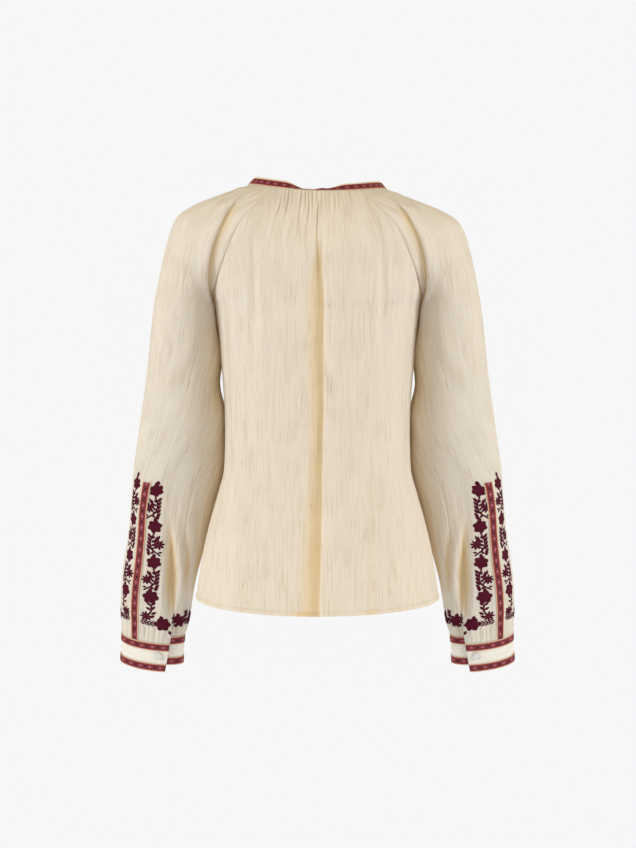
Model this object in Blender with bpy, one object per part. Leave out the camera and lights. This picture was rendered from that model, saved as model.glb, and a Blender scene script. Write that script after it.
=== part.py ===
"""A folk blouse of crinkled cotton gauze, hollow, hanging as it does when it is worn.

It is cut as such a blouse is cut: a back, a front and two raglan sleeves, all
gathered into a narrow neck band, and each sleeve gathered into a buttoned cuff.
A woven ribbon covers the neck band, edges the cuffs, and climbs each sleeve.

The frame: +Z is up, the front of the blouse faces -Y, and its left sleeve is at +X.
The origin lies on the centre plane, at the height where the neck band is sewn on.
Sizes are in millimetres here, and become metres when a mesh is made.
"""

from collections import namedtuple
import math

import bmesh
import bpy
import numpy as np

MM = 0.001
SHARP_ANGLE = 50.0

# Cloth and trimmings
CLOTH = 1.6
BAND_CLOTH = 1.6
RIBBON = 0.9
SEAM = 0.3
REST = 0.35

# Neck
NECK_HALF_WIDTH = 96.6
NECK_HALF_DEPTH = 80.0
NECK_DROP_BACK = 12.0
NECK_DROP_FRONT = 55.0
NECK_SEAM_TILT = 52.0
BAND_HEIGHT = 14.0
BAND_LEAN = 40.0
BAND_STEPS = 64
BAND_RIBBON_MARGIN = 1.0
# At the centre back the band has rolled inwards: more degrees of lean between two places
# in x, each fading in and out over a stretch
Roll = namedtuple("Roll", "degrees begins full_from full_to ends")
BAND_ROLLS = [Roll(34.0, 40.0, 27.0, 0.0, -8.0), Roll(26.0, 2.0, -6.0, -30.0, -40.0)]

# Cuff: an ellipse seen from above, its outer end turned forward and its back edge low
CUFF_HEIGHT = 45.0
CUFF_CLOTH = 1.4
CUFF_OVERLAP_LIFT = 3.4
CUFF_LIFT_ENDS = -0.15
CUFF_SLIP = 5.0
CUFF_TAIL = 0.16
CUFF_LEAN_OUT = 0.07
CUFF_END_SLANT = 5.0
CUFF_SLANT_ENDS = -0.6
CUFF_RIBBON_WIDTH = 11.5
CUFF_RIBBON_MARGIN = 0.8
CUFF_STEPS = 36
SLIT_RISE = 60.0

# Button
BUTTON_RADIUS = 5.6
BUTTON_THICKNESS = 2.4
BUTTON_BEVEL = 0.6
BUTTON_SIDES = 20
BUTTON_PLACE = -0.9
BUTTON_RISE = 2.8
BUTTON_SHANK = 0.8

# Sleeve ribbon, as a span of the way round the sleeve (-1 and 1 are the seam)
SLEEVE_RIBBON_EDGES = (-0.67, -0.59)
SLEEVE_RIBBON_TOP = -410.0

# Raglan seams, from the neck (first row) to the underarm (last row). The sleeve's arc
# runs from the back seam over the ridge of the shoulder to the front seam. turn is half
# of that arc in degrees, depth its half depth from front to back.
Raglan = namedtuple("Raglan", "depth turn back_x back_z front_x front_z ridge_x ridge_z")
RAGLAN = [
    Raglan(80.0, 52.7, 58.5, -7.6, 58.5, -34.8, 96.6, 0.0),
    Raglan(89.0, 60.0, 76.0, -25.0, 74.0, -50.0, 117.0, -11.5),
    Raglan(92.0, 68.0, 91.0, -39.0, 88.0, -66.0, 139.0, -19.5),
    Raglan(90.0, 76.0, 104.0, -53.0, 101.0, -84.0, 162.0, -28.0),
    Raglan(84.5, 84.0, 115.0, -73.0, 112.0, -101.0, 181.0, -36.5),
    Raglan(77.0, 95.0, 124.5, -94.0, 121.5, -117.0, 196.0, -46.0),
    Raglan(68.0, 108.0, 133.0, -114.5, 130.0, -132.0, 206.0, -65.0),
    Raglan(61.0, 128.0, 139.5, -133.0, 137.0, -146.0, 213.5, -91.0),
    Raglan(57.0, 153.0, 144.0, -149.0, 142.0, -157.0, 221.0, -125.0),
    Raglan(55.0, 180.0, 144.0, -165.0, 144.0, -165.0, 228.0, -160.0),
]

# Centre lines of the back and the front beside the same rows. turn is the angle that a
# panel's level arc spans from its centre line to its seam.
Yoke = namedtuple("Yoke", "back_y back_z front_y front_z turn")
YOKE = [
    Yoke(80.0, -12.0, -80.0, -55.0, 37.3),
    Yoke(91.0, -31.0, -90.0, -72.0, 42.0),
    Yoke(99.0, -49.0, -98.0, -88.0, 47.0),
    Yoke(106.0, -68.0, -105.0, -104.0, 53.0),
    Yoke(111.0, -88.0, -110.0, -119.0, 58.0),
    Yoke(114.5, -107.0, -114.0, -133.0, 63.0),
    Yoke(117.0, -125.0, -117.0, -146.0, 69.0),
    Yoke(118.5, -142.0, -119.5, -158.0, 76.0),
    Yoke(119.0, -158.0, -121.0, -168.0, 84.0),
    Yoke(119.0, -172.0, -122.0, -178.0, 90.0),
]

# Body below the underarm, down to the hem, which dips at the centre
Body = namedtuple("Body", "seam_z half_width back_y back_z front_y front_z")
BODY = [
    Body(-165.0, 144.0, 119.0, -172.0, -122.0, -178.0),
    Body(-205.0, 138.5, 118.0, -212.0, -124.0, -216.0),
    Body(-245.0, 135.0, 116.0, -252.0, -123.0, -255.0),
    Body(-285.0, 131.5, 114.0, -292.0, -120.0, -294.0),
    Body(-325.0, 129.5, 113.0, -332.0, -117.0, -334.0),
    Body(-365.0, 129.5, 113.0, -373.0, -116.0, -374.0),
    Body(-400.0, 131.5, 114.5, -409.0, -117.0, -410.0),
    Body(-435.0, 141.0, 117.0, -445.0, -119.5, -446.0),
    Body(-470.0, 151.0, 120.0, -482.0, -122.5, -482.0),
    Body(-505.0, 159.0, 123.0, -519.0, -125.5, -519.0),
    Body(-540.0, 165.0, 126.0, -556.0, -128.0, -555.0),
    Body(-574.0, 170.0, 129.0, -592.0, -130.0, -590.0),
]

# Sleeve below the underarm: ellipses about the arm. twist turns the outer end forward,
# lean lowers the back edge, and seam is how far the sleeve seam has moved to the back.
Arm = namedtuple("Arm", "x y z half_width half_depth twist lean seam")
ARM = [
    Arm(186.0, -2.5, -162.5, 42.0, 55.0, 0.0, 0.0, 0.0),
    Arm(188.5, -3.5, -196.0, 44.0, 53.5, 0.0, 0.0, 0.0),
    Arm(188.5, -5.0, -235.0, 48.0, 51.5, 0.0, 0.0, 0.0),
    Arm(190.5, -7.0, -277.0, 51.0, 49.0, 0.0, 2.0, -6.0),
    Arm(193.0, -11.0, -318.0, 54.5, 46.5, 0.0, 5.0, -20.0),
    Arm(194.5, -17.0, -358.0, 59.0, 44.0, 0.0, 9.0, -42.0),
    Arm(198.0, -26.0, -397.0, 61.5, 42.5, -1.0, 12.0, -60.0),
    Arm(204.0, -36.0, -440.0, 59.5, 41.0, -3.0, 14.0, -64.0),
    Arm(210.5, -46.0, -484.0, 57.5, 40.0, -6.0, 16.0, -60.0),
    Arm(219.3, -55.0, -520.0, 55.3, 38.0, -8.0, 17.0, -54.5),
    Arm(226.0, -63.0, -552.0, 53.5, 36.0, -10.0, 18.0, -52.0),
    Arm(230.3, -72.0, -586.0, 51.6, 31.0, -13.0, 19.0, -50.5),
    Arm(232.0, -77.0, -608.0, 49.5, 26.0, -14.0, 20.0, -50.0),
    Arm(235.0, -82.0, -631.0, 46.5, 20.0, -15.0, 20.0, -50.0),
]

# Where the rows of each piece stand, counted in rows of the tables above
RAGLAN_PLACES = (0.0, 0.25, 0.6, 1.1, 1.8, 2.6, 3.5, 4.5, 5.5, 6.5, 7.5, 8.3, 9.0)
BODY_PLACES = (1, 2, 3, 4, 5, 6, 7, 8, 9, 10, 11)
ARM_PLACES = (0.6, 1.3, 2.0, 3.0, 4.0, 5.0, 6.0, 6.9, 7.5, 8.2, 9.0, 10.0, 10.8, 11.5, 12.2, 13.0)
GATHERED_ROWS_NECK = 5
GATHERED_ROWS_SHOULDER = 3
GATHERED_ROWS_CUFF = 3

# Gathers at the neck: one for every four fine columns, tallest a little way below it
BACK_COLUMNS = 64
FRONT_COLUMNS = 40
COLUMN_SAMPLES = 801
COLUMNS_PER_GATHER = 4
FLAT_EDGE_COLUMNS = 3
SLEEVE_SPANS = (3, 15)
Gather = namedtuple("Gather", "below height")
NECK_GATHER = [Gather(0, 0.7), Gather(14, 1.7), Gather(40, 1.7), Gather(85, 0.8), Gather(130, 0.0)]
CUFF_GATHER = [Gather(0, 1.0), Gather(9, 2.0), Gather(26, 1.8), Gather(60, 0.0)]
SHOULDER_GATHER = [Gather(0, 0.6), Gather(14, 1.2), Gather(45, 0.8), Gather(90, 0.0)]

FOLD_RISE = 60.0
FOLD_FALL = 120.0
# Larger folds of a panel. Places run from -1 to 1 across it (+1 is the wearer's left),
# top and bottom are distances below the neck, and a negative height is a trough.
Fold = namedtuple("Fold", "neck_place hem_place top bottom height width")
BACK_FOLDS = [
    Fold(0.62, 0.44, 20, 300, -3.6, 0.070),
    Fold(0.46, 0.32, 20, 330, 3.0, 0.075),
    Fold(0.86, 0.68, 30, 260, 2.4, 0.080),
    Fold(-0.62, -0.44, 20, 300, -3.6, 0.070),
    Fold(-0.46, -0.32, 20, 330, 3.0, 0.075),
    Fold(-0.86, -0.68, 30, 260, 2.4, 0.080),
    Fold(0.25, 0.24, 60, 620, 1.8, 0.060),
    Fold(-0.20, -0.22, 60, 620, 2.0, 0.070),
    Fold(0.55, 0.58, 330, 680, 2.6, 0.080),
    Fold(-0.50, -0.56, 330, 680, 2.8, 0.080),
    Fold(-0.36, -0.38, 360, 680, -2.2, 0.060),
]
FRONT_FOLDS = [
    Fold(0.08, 0.10, 30, 640, 3.0, 0.080),
    Fold(-0.10, -0.12, 30, 620, -3.0, 0.080),
    Fold(0.40, 0.30, 30, 640, -3.2, 0.080),
    Fold(-0.38, -0.32, 30, 640, 3.0, 0.080),
    Fold(0.66, 0.52, 30, 640, 3.0, 0.090),
    Fold(-0.64, -0.54, 30, 640, -3.0, 0.090),
]
# Centre-back fold: the cloth on the right lies over a trough on its left
PLEAT_PLACE = -0.03
PLEAT_SPAN = 0.10
PLEAT_CROWDING = 2.2
PLEAT_TOP = 45.0
PLEAT_RISE = 70.0
# Heights, with places and widths counted in pleat spans to the left of the pleat
Swell = namedtuple("Swell", "height middle width")
PLEAT_SWELLS = [Swell(4.0, -0.55, 0.55), Swell(-9.0, 0.50, 0.42)]

# Folds of a sleeve. around runs from -1 to 1 from seam to seam by way of the back.
Crease = namedtuple("Crease", "around drop run height width")
SLEEVE_CREASES = [
    Crease(-0.93, 330.0, 46.0, -6.0, 0.16),
    Crease(-0.89, 372.0, 30.0, 4.0, 0.18),
    Crease(-0.73, 250.0, 40.0, -3.0, 0.16),
    Crease(0.79, 322.0, 36.0, -6.0, 0.18),
    Crease(0.65, 376.0, 30.0, 4.0, 0.16),
]


def spread(table, places):
    """Read a table between its rows: each column is a smooth cubic through them."""
    rows = np.array(table, float)
    padded = np.vstack([2 * rows[0] - rows[1], rows, 2 * rows[-1] - rows[-2]])
    places = np.asarray(places, float)
    start = np.minimum(places.astype(int), len(rows) - 2)
    t = (places - start)[:, None]
    before, here, there, after = (padded[start + k] for k in range(4))
    leave = (there - before) / 2
    arrive = (after - here) / 2
    values = (
        here * (2 * t**3 - 3 * t**2 + 1)
        + leave * (t**3 - 2 * t**2 + t)
        + there * (3 * t**2 - 2 * t**3)
        + arrive * (t**3 - t**2)
    )
    return type(table[0])(*(column[:, None] for column in values.T))


def stack(x, y, z):
    """Join three arrays of one shape into points."""
    return np.stack(np.broadcast_arrays(x, y, z), axis=-1)


def unit(vectors):
    """Vectors of length one."""
    return vectors / np.linalg.norm(vectors, axis=-1, keepdims=True)


def smooth(low, high, value):
    """Rise softly from 0 at low to 1 at high."""
    t = np.clip((value - low) / (high - low), 0, 1)
    return t * t * (3 - 2 * t)


def neck_height(angle):
    """Height of the neck seam at an angle from the centre back, in radians."""
    drop = np.where(np.cos(angle) > 0, NECK_DROP_BACK, NECK_DROP_FRONT)
    return -drop * np.cos(angle) ** 2


def neck_point(angle):
    """Point of the neck seam: an ellipse seen from above."""
    x = NECK_HALF_WIDTH * np.sin(angle)
    y = NECK_HALF_DEPTH * np.cos(angle)
    return stack(x, y, neck_height(angle))


def neck_frame(angle):
    """Two directions at the neck seam: out of the cloth, and up across the seam."""
    level = unit(stack(np.sin(angle) / NECK_HALF_WIDTH, np.cos(angle) / NECK_HALF_DEPTH, 0.0))
    up = np.array([0.0, 0.0, 1.0])
    tilt = math.radians(NECK_SEAM_TILT)
    out = level * math.cos(tilt) + up * math.sin(tilt)
    across = up * math.cos(tilt) - level * math.sin(tilt)
    return out, across


def panel_columns(count, crowding):
    """Places from -1 to 1 across a panel, crowded about the centre-back fold."""
    even = np.linspace(-1, 1, COLUMN_SAMPLES)
    weight = 1 + crowding * np.exp(-(((even - PLEAT_PLACE - PLEAT_SPAN / 2) / PLEAT_SPAN) ** 2))
    total = np.concatenate([[0], np.cumsum((weight[1:] + weight[:-1]) / 2)])
    return np.interp(np.linspace(0, total[-1], count + 1), total, even)


def panel_base(side, place):
    """Unfolded surface of the back (side 1) or the front (side -1), row by row.

    Each row is part of an ellipse from seam to seam: across by the sine of its angle,
    back and down by how far its cosine has fallen.
    """
    seam = spread(RAGLAN, RAGLAN_PLACES)
    yoke = spread(YOKE, RAGLAN_PLACES)
    body = spread(BODY, BODY_PLACES)
    letter = "back" if side > 0 else "front"

    seam_x = np.vstack([getattr(seam, letter + "_x"), body.half_width])
    seam_z = np.vstack([getattr(seam, letter + "_z"), body.seam_z])
    reach = seam.depth * np.sin(np.radians(seam.turn)) * side
    seam_y = np.vstack([reach, 0 * body.seam_z])
    centre_y = np.vstack([getattr(yoke, letter + "_y"), getattr(body, letter + "_y")])
    centre_z = np.vstack([getattr(yoke, letter + "_z"), getattr(body, letter + "_z")])
    turn = np.radians(np.vstack([yoke.turn, 90 + 0 * body.seam_z]))

    angle = turn * place
    fall = (1 - np.cos(angle)) / (1 - np.cos(turn))
    x = seam_x * np.sin(angle) / np.sin(turn)
    y = centre_y + (seam_y - centre_y) * fall
    z = centre_z + (seam_z - centre_z) * fall
    points = stack(x, y, z)
    points[0] = neck_point(angle[0] if side > 0 else math.pi - angle[0])
    return points


def sleeve_columns():
    """Places round the sleeve, with one span exactly under its ribbon."""
    left, right = SLEEVE_RIBBON_EDGES
    coarse = np.concatenate(
        [np.linspace(-1, left, SLEEVE_SPANS[0] + 1), np.linspace(right, 1, SLEEVE_SPANS[1] + 1)]
    )
    middles = (coarse[1:] + coarse[:-1]) / 2
    return np.sort(np.concatenate([coarse, middles]))


def sleeve_top(around):
    """The sleeve above the underarm: arcs from the back seam, over the ridge, to the front."""
    rows = spread(RAGLAN, RAGLAN_PLACES)
    turn = np.radians(rows.turn)
    angle = -turn * around
    rise = (np.cos(angle) - np.cos(turn)) / (1 - np.cos(turn))
    odd = -np.sin(around * math.pi / 2)
    middle_x = (rows.back_x + rows.front_x) / 2
    middle_z = (rows.back_z + rows.front_z) / 2
    x = middle_x + (rows.ridge_x - middle_x) * rise + (rows.back_x - rows.front_x) / 2 * odd
    z = middle_z + (rows.ridge_z - middle_z) * rise + (rows.back_z - rows.front_z) / 2 * odd
    y = rows.depth * np.sin(angle)
    points = stack(x, y, z)
    points[0] = neck_point(math.pi / 2 - angle[0])
    return points


def arm_ring(rows, around):
    """Ellipses about the arm. Every ring is level across and leans down towards the back."""
    angle = np.radians(rows.seam) - math.pi * around
    twist = np.radians(rows.twist)
    long_way = rows.half_width * np.cos(angle)
    short_way = rows.half_depth * np.sin(angle)
    x = rows.x + long_way * np.cos(twist) - short_way * np.sin(twist)
    y = rows.y + long_way * np.sin(twist) + short_way * np.cos(twist)
    z = rows.z - np.tan(np.radians(rows.lean)) * (y - rows.y)
    return stack(x, y, z)


def overlap_lift(around):
    """How far the buttoned end of a cuff stands off the end that it covers."""
    return CUFF_OVERLAP_LIFT * (1 - smooth(-1.0, CUFF_LIFT_ENDS, around))


def cuff_slip(around):
    """How far the closed cuff's two ends have slipped past each other, up or down."""
    return CUFF_SLIP * np.clip(around, -1, 1)


def ring_normals(ring):
    """Outward directions of one closed ring, level with it."""
    along = np.gradient(ring, axis=-2)
    return unit(np.cross(np.array([0.0, 0.0, 1.0]), along))


def sleeve_base(around):
    """Unfolded sleeve, from the neck to the cuff."""
    rows = spread(ARM, ARM_PLACES)
    rings = arm_ring(rows, around)
    last = rows.z[-1]
    share = 1 - smooth(0.0, SLIT_RISE, rows.z - last)
    rings = rings + ring_normals(rings) * (share * overlap_lift(around))[..., None]
    rings[..., 2] += share * cuff_slip(around)
    return np.vstack([sleeve_top(around), rings])


def normals(points):
    """Directions out of a grid whose rows run down and whose columns run towards -X at the back."""
    down = np.gradient(points, axis=0)
    across = np.gradient(points, axis=1)
    return unit(np.cross(across, down))


def gather_height(table, below):
    """Height of the gathers at a distance from the seam that they are drawn into."""
    places = [row.below for row in table]
    heights = [row.height for row in table]
    return np.interp(below, places, heights)


def fold_heights(folds, place, below, length):
    """Larger folds: soft ridges and troughs that lean from a neck place to a hem place."""
    total = 0 * place * below
    for fold in folds:
        middle = fold.neck_place + (fold.hem_place - fold.neck_place) * below / length
        begun = smooth(fold.top, fold.top + FOLD_RISE, below)
        ended = smooth(fold.bottom - FOLD_FALL, fold.bottom, below)
        swell = np.exp(-(((place - middle) / fold.width) ** 2))
        total = total + fold.height * begun * (1 - ended) * swell
    return total


def pleat_height(place, below):
    """The centre-back fold: a rounded edge on the right and a trough on its left."""
    offset = (place - PLEAT_PLACE) / PLEAT_SPAN
    height = sum(s.height * np.exp(-(((offset - s.middle) / s.width) ** 2)) for s in PLEAT_SWELLS)
    return height * smooth(PLEAT_TOP, PLEAT_TOP + PLEAT_RISE, below)


def along_rows(points):
    """Distance of every row from the first, measured down the middle column."""
    middle = points[:, points.shape[1] // 2]
    steps = np.linalg.norm(np.diff(middle, axis=0), axis=1)
    return np.concatenate([[0], np.cumsum(steps)])[:, None]


def edge_fade(count):
    """Zero at a piece's two seams, and one a few columns in."""
    index = np.arange(count + 1)
    return np.clip(np.minimum(index, count - index) / FLAT_EDGE_COLUMNS, 0, 1)


def gather_wave(count):
    """Crests and dips of even gathers across a piece's columns."""
    return np.cos(np.arange(count + 1) * 2 * math.pi / COLUMNS_PER_GATHER)


def triangles(upper, lower):
    """Triangles between two rows of vertex numbers; one may have twice the other's spans."""
    faces = []
    if len(upper) == len(lower):
        for i in range(len(upper) - 1):
            faces.append((upper[i], lower[i], lower[i + 1]))
            faces.append((upper[i], lower[i + 1], upper[i + 1]))
        return faces
    coarse, fine = (lower, upper) if len(upper) > len(lower) else (upper, lower)
    for i in range(len(coarse) - 1):
        first, middle, last = fine[2 * i : 2 * i + 3]
        faces.append((first, coarse[i], middle))
        faces.append((middle, coarse[i], coarse[i + 1]))
        faces.append((middle, coarse[i + 1], last))
    return faces


def make_piece(name, bm, material):
    """Turn a bmesh in millimetres into a named object in metres."""
    bmesh.ops.scale(bm, vec=(MM, MM, MM), verts=bm.verts)
    bmesh.ops.recalc_face_normals(bm, faces=bm.faces)
    mesh = bpy.data.meshes.new(name)
    bm.to_mesh(mesh)
    bm.free()
    mesh.materials.append(material)
    mesh.shade_smooth()
    mesh.set_sharp_from_angle(angle=math.radians(SHARP_ANGLE))
    piece = bpy.data.objects.new(name, mesh)
    bpy.context.scene.collection.objects.link(piece)
    return piece


def wall(name, outer_rows, inner_rows, material, closed=False):
    """Closed cloth wall between an outer and an inner set of rows.

    closed joins each row's last point to its first, as on a ring of cloth.
    """
    bm = bmesh.new()
    layers = []
    for rows in (outer_rows, inner_rows):
        numbered = []
        for row in rows:
            verts = [bm.verts.new(point) for point in row]
            numbered.append(verts + verts[:1] if closed else verts)
        layers.append(numbered)
    outer, inner = layers
    faces = []
    for layer in layers:
        for upper, lower in zip(layer, layer[1:]):
            faces += triangles(upper, lower)
    for end in (0, -1):
        faces += triangles(outer[end], inner[end])
        if not closed:
            faces += triangles([row[end] for row in outer], [row[end] for row in inner])
    for face in faces:
        bm.faces.new(face)
    return make_piece(name, bm, material)


def thin_out(points, gathered):
    """Keep every column in the gathered rows and every second one elsewhere."""
    return [row if keep else row[::2] for row, keep in zip(points, gathered)]


def fabric(name, colour, roughness, metallic=0.0):
    """A plain surface for one kind of piece."""
    material = bpy.data.materials.new(name)
    material.use_nodes = True
    shader = material.node_tree.nodes["Principled BSDF"]
    shader.inputs["Base Color"].default_value = (*colour, 1.0)
    shader.inputs["Roughness"].default_value = roughness
    shader.inputs["Metallic"].default_value = metallic
    return material


def mirror_points(points):
    """The same points on the other side of the centre plane."""
    return points * np.array([-1.0, 1.0, 1.0])


class Seams:
    """Where the back, the front and a sleeve meet, and the directions there.

    At every point of a seam the pieces share one direction out of the cloth and one
    across the seam, so that their edges stay parallel and a hair apart.
    """

    def __init__(self, back, front, sleeve):
        self.count = len(RAGLAN_PLACES)
        rows = slice(0, self.count)
        sleeve_out = normals(sleeve)
        self.back = self.frame(back[rows, -1], normals(back)[rows, -1], sleeve_out[rows, 0])
        self.front = self.frame(front[rows, -1], -normals(front)[rows, -1], sleeve_out[rows, -1])

    def frame(self, points, panel_out, sleeve_out):
        """Directions out of the cloth and from the panel into the sleeve."""
        out = unit(unit(panel_out) + unit(sleeve_out))
        down = unit(np.gradient(points, axis=0))
        into_sleeve = unit(np.cross(out, down))
        into_sleeve *= np.sign(into_sleeve[:, :1])
        out[-1] = (0.0, 0.0, -1.0)
        into_sleeve[-1] = (1.0, 0.0, 0.0)
        return out, into_sleeve


def finish_panel(side, place, folds, seams, count, pleated):
    """A folded panel's outer and inner points."""
    base = panel_base(side, place)
    out = normals(base) * side
    below = along_rows(base)
    length = below[-1]
    gathers = gather_wave(count) * gather_height(NECK_GATHER, below)
    folded = fold_heights(folds, place, below, length)
    if pleated:
        folded = folded + pleat_height(place, below)
    height = (gathers + folded) * edge_fade(count)

    seam_out, into_sleeve = seams.back if side > 0 else seams.front
    rows = seams.count
    half = SEAM / 2
    for end, flip in ((-1, 1.0), (0, -1.0)):
        mirror = np.array([flip, 1.0, 1.0])
        out[:rows, end] = seam_out * mirror
        base[:rows, end] -= into_sleeve * mirror * half
        out[rows:, end] = np.array([flip, 0.0, 0.0])
        base[rows - 1 :, end, 1] += side * half
    angle = np.arcsin(np.clip(base[0, :, 0] / NECK_HALF_WIDTH, -1, 1))
    neck_out, across = neck_frame(angle if side > 0 else math.pi - angle)
    out[0] = neck_out
    base[0] -= across * half

    outer = base + out * height[..., None]
    return outer, outer - out * CLOTH


def finish_sleeve(around, seams):
    """A folded sleeve's outer and inner points."""
    base = sleeve_base(around)
    out = normals(base)
    rows = seams.count
    half = SEAM / 2
    count = len(around) - 1

    below = along_rows(base)
    above_cuff = below[-1] - below
    wave = gather_wave(count)
    gathers = wave * gather_height(SHOULDER_GATHER, below)
    gathers = gathers + wave * gather_height(CUFF_GATHER, above_cuff)
    creases = 0 * around * below
    for crease in SLEEVE_CREASES:
        along = np.exp(-(((-base[..., 2] - crease.drop) / crease.run) ** 2))
        round_it = np.exp(-(((around - crease.around) / crease.width) ** 2))
        creases = creases + crease.height * along * round_it
    height = (gathers + creases) * edge_fade(count)

    for end, frame in ((0, seams.back), (-1, seams.front)):
        seam_out, into_sleeve = frame
        out[:rows, end] = seam_out
        base[:rows, end] += into_sleeve * half
    seam_out = unit(out[rows:, 0] + out[rows:, -1])
    out[rows:, 0] = seam_out
    out[rows:, -1] = seam_out
    down = unit(np.gradient(base[rows - 1 :, 0], axis=0))[1:]
    across = unit(np.cross(seam_out, down))
    across *= np.sign(np.sum(across * (base[rows:, 1] - base[rows:, 0]), axis=1, keepdims=True))
    across = np.vstack([[0.0, 1.0, 0.0], across])
    base[rows - 1 :, 0] += across * half
    base[rows - 1 :, -1] -= across * half
    angle = math.pi / 2 + math.radians(RAGLAN[0].turn) * around
    neck_out, neck_across = neck_frame(angle)
    out[0] = neck_out
    base[0] -= neck_across * half

    outer = base + out * height[..., None]
    return outer, outer - out * CLOTH


def band_lean(x, at_back):
    """Lean of the neck band from upright, in degrees; it rolls in at the centre back."""
    lean = BAND_LEAN + 0 * x
    for roll in BAND_ROLLS:
        share = smooth(roll.begins, roll.full_from, x) * smooth(roll.ends, roll.full_to, x)
        lean = lean + roll.degrees * share * at_back
    return lean


def band_points(heights):
    """Points of the neck band's outside at some heights, and the directions out of it."""
    angle = np.arange(BAND_STEPS) * 2 * math.pi / BAND_STEPS
    base = neck_point(angle)
    seam_out, seam_across = neck_frame(angle)
    level = unit(stack(np.sin(angle) / NECK_HALF_WIDTH, np.cos(angle) / NECK_HALF_DEPTH, 0.0))
    lean = np.radians(band_lean(base[:, 0], np.cos(angle) > 0))[:, None]
    up = np.array([0.0, 0.0, 1.0])
    rise = up * np.cos(lean) - level * np.sin(lean)
    out = level * np.cos(lean) + up * np.sin(lean)
    start = base + seam_across * SEAM / 2
    rows = [start + rise * height for height in heights]
    outs = [seam_out if height == 0 else out for height in heights]
    return rows, outs


def make_neck(band_material, ribbon_material):
    """The neck band, a ring of doubled cloth, and the ribbon sewn round its outside."""
    heights = (0.0, BAND_RIBBON_MARGIN, BAND_HEIGHT - 2 * BAND_RIBBON_MARGIN, BAND_HEIGHT)
    rows, outs = band_points(heights)
    inner = [row - out * BAND_CLOTH for row, out in zip(rows, outs)]
    wall("neck_band", rows, inner, band_material, closed=True)
    under = [row + out * REST for row, out in zip(rows[1:3], outs[1:3])]
    over = [row + out * (REST + RIBBON) for row, out in zip(rows[1:3], outs[1:3])]
    wall("neck_ribbon", over, under, ribbon_material, closed=True)


def cuff_points(depths):
    """Points of a cuff's outside at some depths below its top edge, and the directions out.

    The strip starts at the buttoned end, runs round the wrist, and ends in a tail that
    lies under its own start.
    """
    around = np.linspace(-1, 1 + CUFF_TAIL, CUFF_STEPS + 1)
    ring = arm_ring(spread(ARM, [len(ARM) - 1]), around)[0]
    level = ring_normals(ring)
    ring = ring + level * overlap_lift(around)[:, None]
    ring[:, 2] += cuff_slip(around)
    lean = math.radians(ARM[-1].lean)
    down = unit(np.array([CUFF_LEAN_OUT, -math.sin(lean), -math.cos(lean)]))
    out = unit(level - down * np.sum(level * down, axis=1, keepdims=True))
    slant = CUFF_END_SLANT / CUFF_HEIGHT * (1 - smooth(-1.0, CUFF_SLANT_ENDS, around))
    along = unit(np.gradient(ring, axis=0)) * slant[:, None]
    rows = [ring + down * (SEAM + depth) + along * depth for depth in depths]
    return around, rows, out, down


def make_cuff(side, flip, cuff_material, ribbon_material):
    """One cuff and the two ribbons along its edges."""
    near = CUFF_RIBBON_MARGIN
    far = CUFF_RIBBON_MARGIN + CUFF_RIBBON_WIDTH
    depths = (0.0, near, far, CUFF_HEIGHT - far, CUFF_HEIGHT - near, CUFF_HEIGHT)
    around, rows, out, down = cuff_points(depths)
    inner = [row - out * CUFF_CLOTH for row in rows]
    wall("cuff_" + side, [flip(row) for row in rows], [flip(row) for row in inner], cuff_material)
    for edge, first in (("top", 1), ("bottom", 3)):
        under = [flip(row + out * REST) for row in rows[first : first + 2]]
        over = [flip(row + out * (REST + RIBBON)) for row in rows[first : first + 2]]
        wall("cuff_ribbon_" + edge + "_" + side, over, under, ribbon_material)
    return around, rows, out, down


def make_button(side, flip, cuff, material):
    """A round button on the cuff's buttoned end, between the ribbons and nearer the top one."""
    around, rows, out, down = cuff
    middle = (rows[2] + rows[3]) / 2 - down * BUTTON_RISE
    centre = np.array([np.interp(BUTTON_PLACE, around, middle[:, axis]) for axis in range(3)])
    facing = unit(np.array([np.interp(BUTTON_PLACE, around, out[:, axis]) for axis in range(3)]))
    side_way = unit(np.cross(facing, down))
    upward = np.cross(side_way, facing)
    turn = np.arange(BUTTON_SIDES) * 2 * math.pi / BUTTON_SIDES
    bm = bmesh.new()
    rings = []
    profile = (
        (BUTTON_RADIUS - BUTTON_BEVEL, 0.0),
        (BUTTON_RADIUS, BUTTON_BEVEL),
        (BUTTON_RADIUS, BUTTON_THICKNESS - BUTTON_BEVEL),
        (BUTTON_RADIUS - BUTTON_BEVEL, BUTTON_THICKNESS),
    )
    for radius, height in profile:
        points = (
            centre
            + facing * (BUTTON_SHANK + height)
            + np.outer(np.cos(turn), side_way) * radius
            + np.outer(np.sin(turn), upward) * radius
        )
        ring = [bm.verts.new(point) for point in flip(points)]
        rings.append(ring + ring[:1])
    for upper, lower in zip(rings, rings[1:]):
        for face in triangles(upper, lower):
            bm.faces.new(face)
    bm.faces.new(rings[0][:-1])
    bm.faces.new(rings[-1][:-1])
    make_piece("cuff_button_" + side, bm, material)


def make_sleeve_ribbon(side, flip, around, outer, outs, gathered, material):
    """The ribbon that climbs the sleeve, made from the sleeve's own points, moved out."""
    left, right = SLEEVE_RIBBON_EDGES
    inside = (around > left - 1e-6) & (around < right + 1e-6)
    start = int(np.argmax(outer[:, inside][:, 0, 2] < SLEEVE_RIBBON_TOP))
    under = [flip(row) for row in outer[start:, inside] + outs[start:, inside] * REST]
    over = [flip(row) for row in outer[start:, inside] + outs[start:, inside] * (REST + RIBBON)]
    wall(
        "sleeve_ribbon_" + side,
        thin_out(over, gathered[start:]),
        thin_out(under, gathered[start:]),
        material,
    )


def keep_same(points):
    """Leave points where they are."""
    return points


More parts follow.
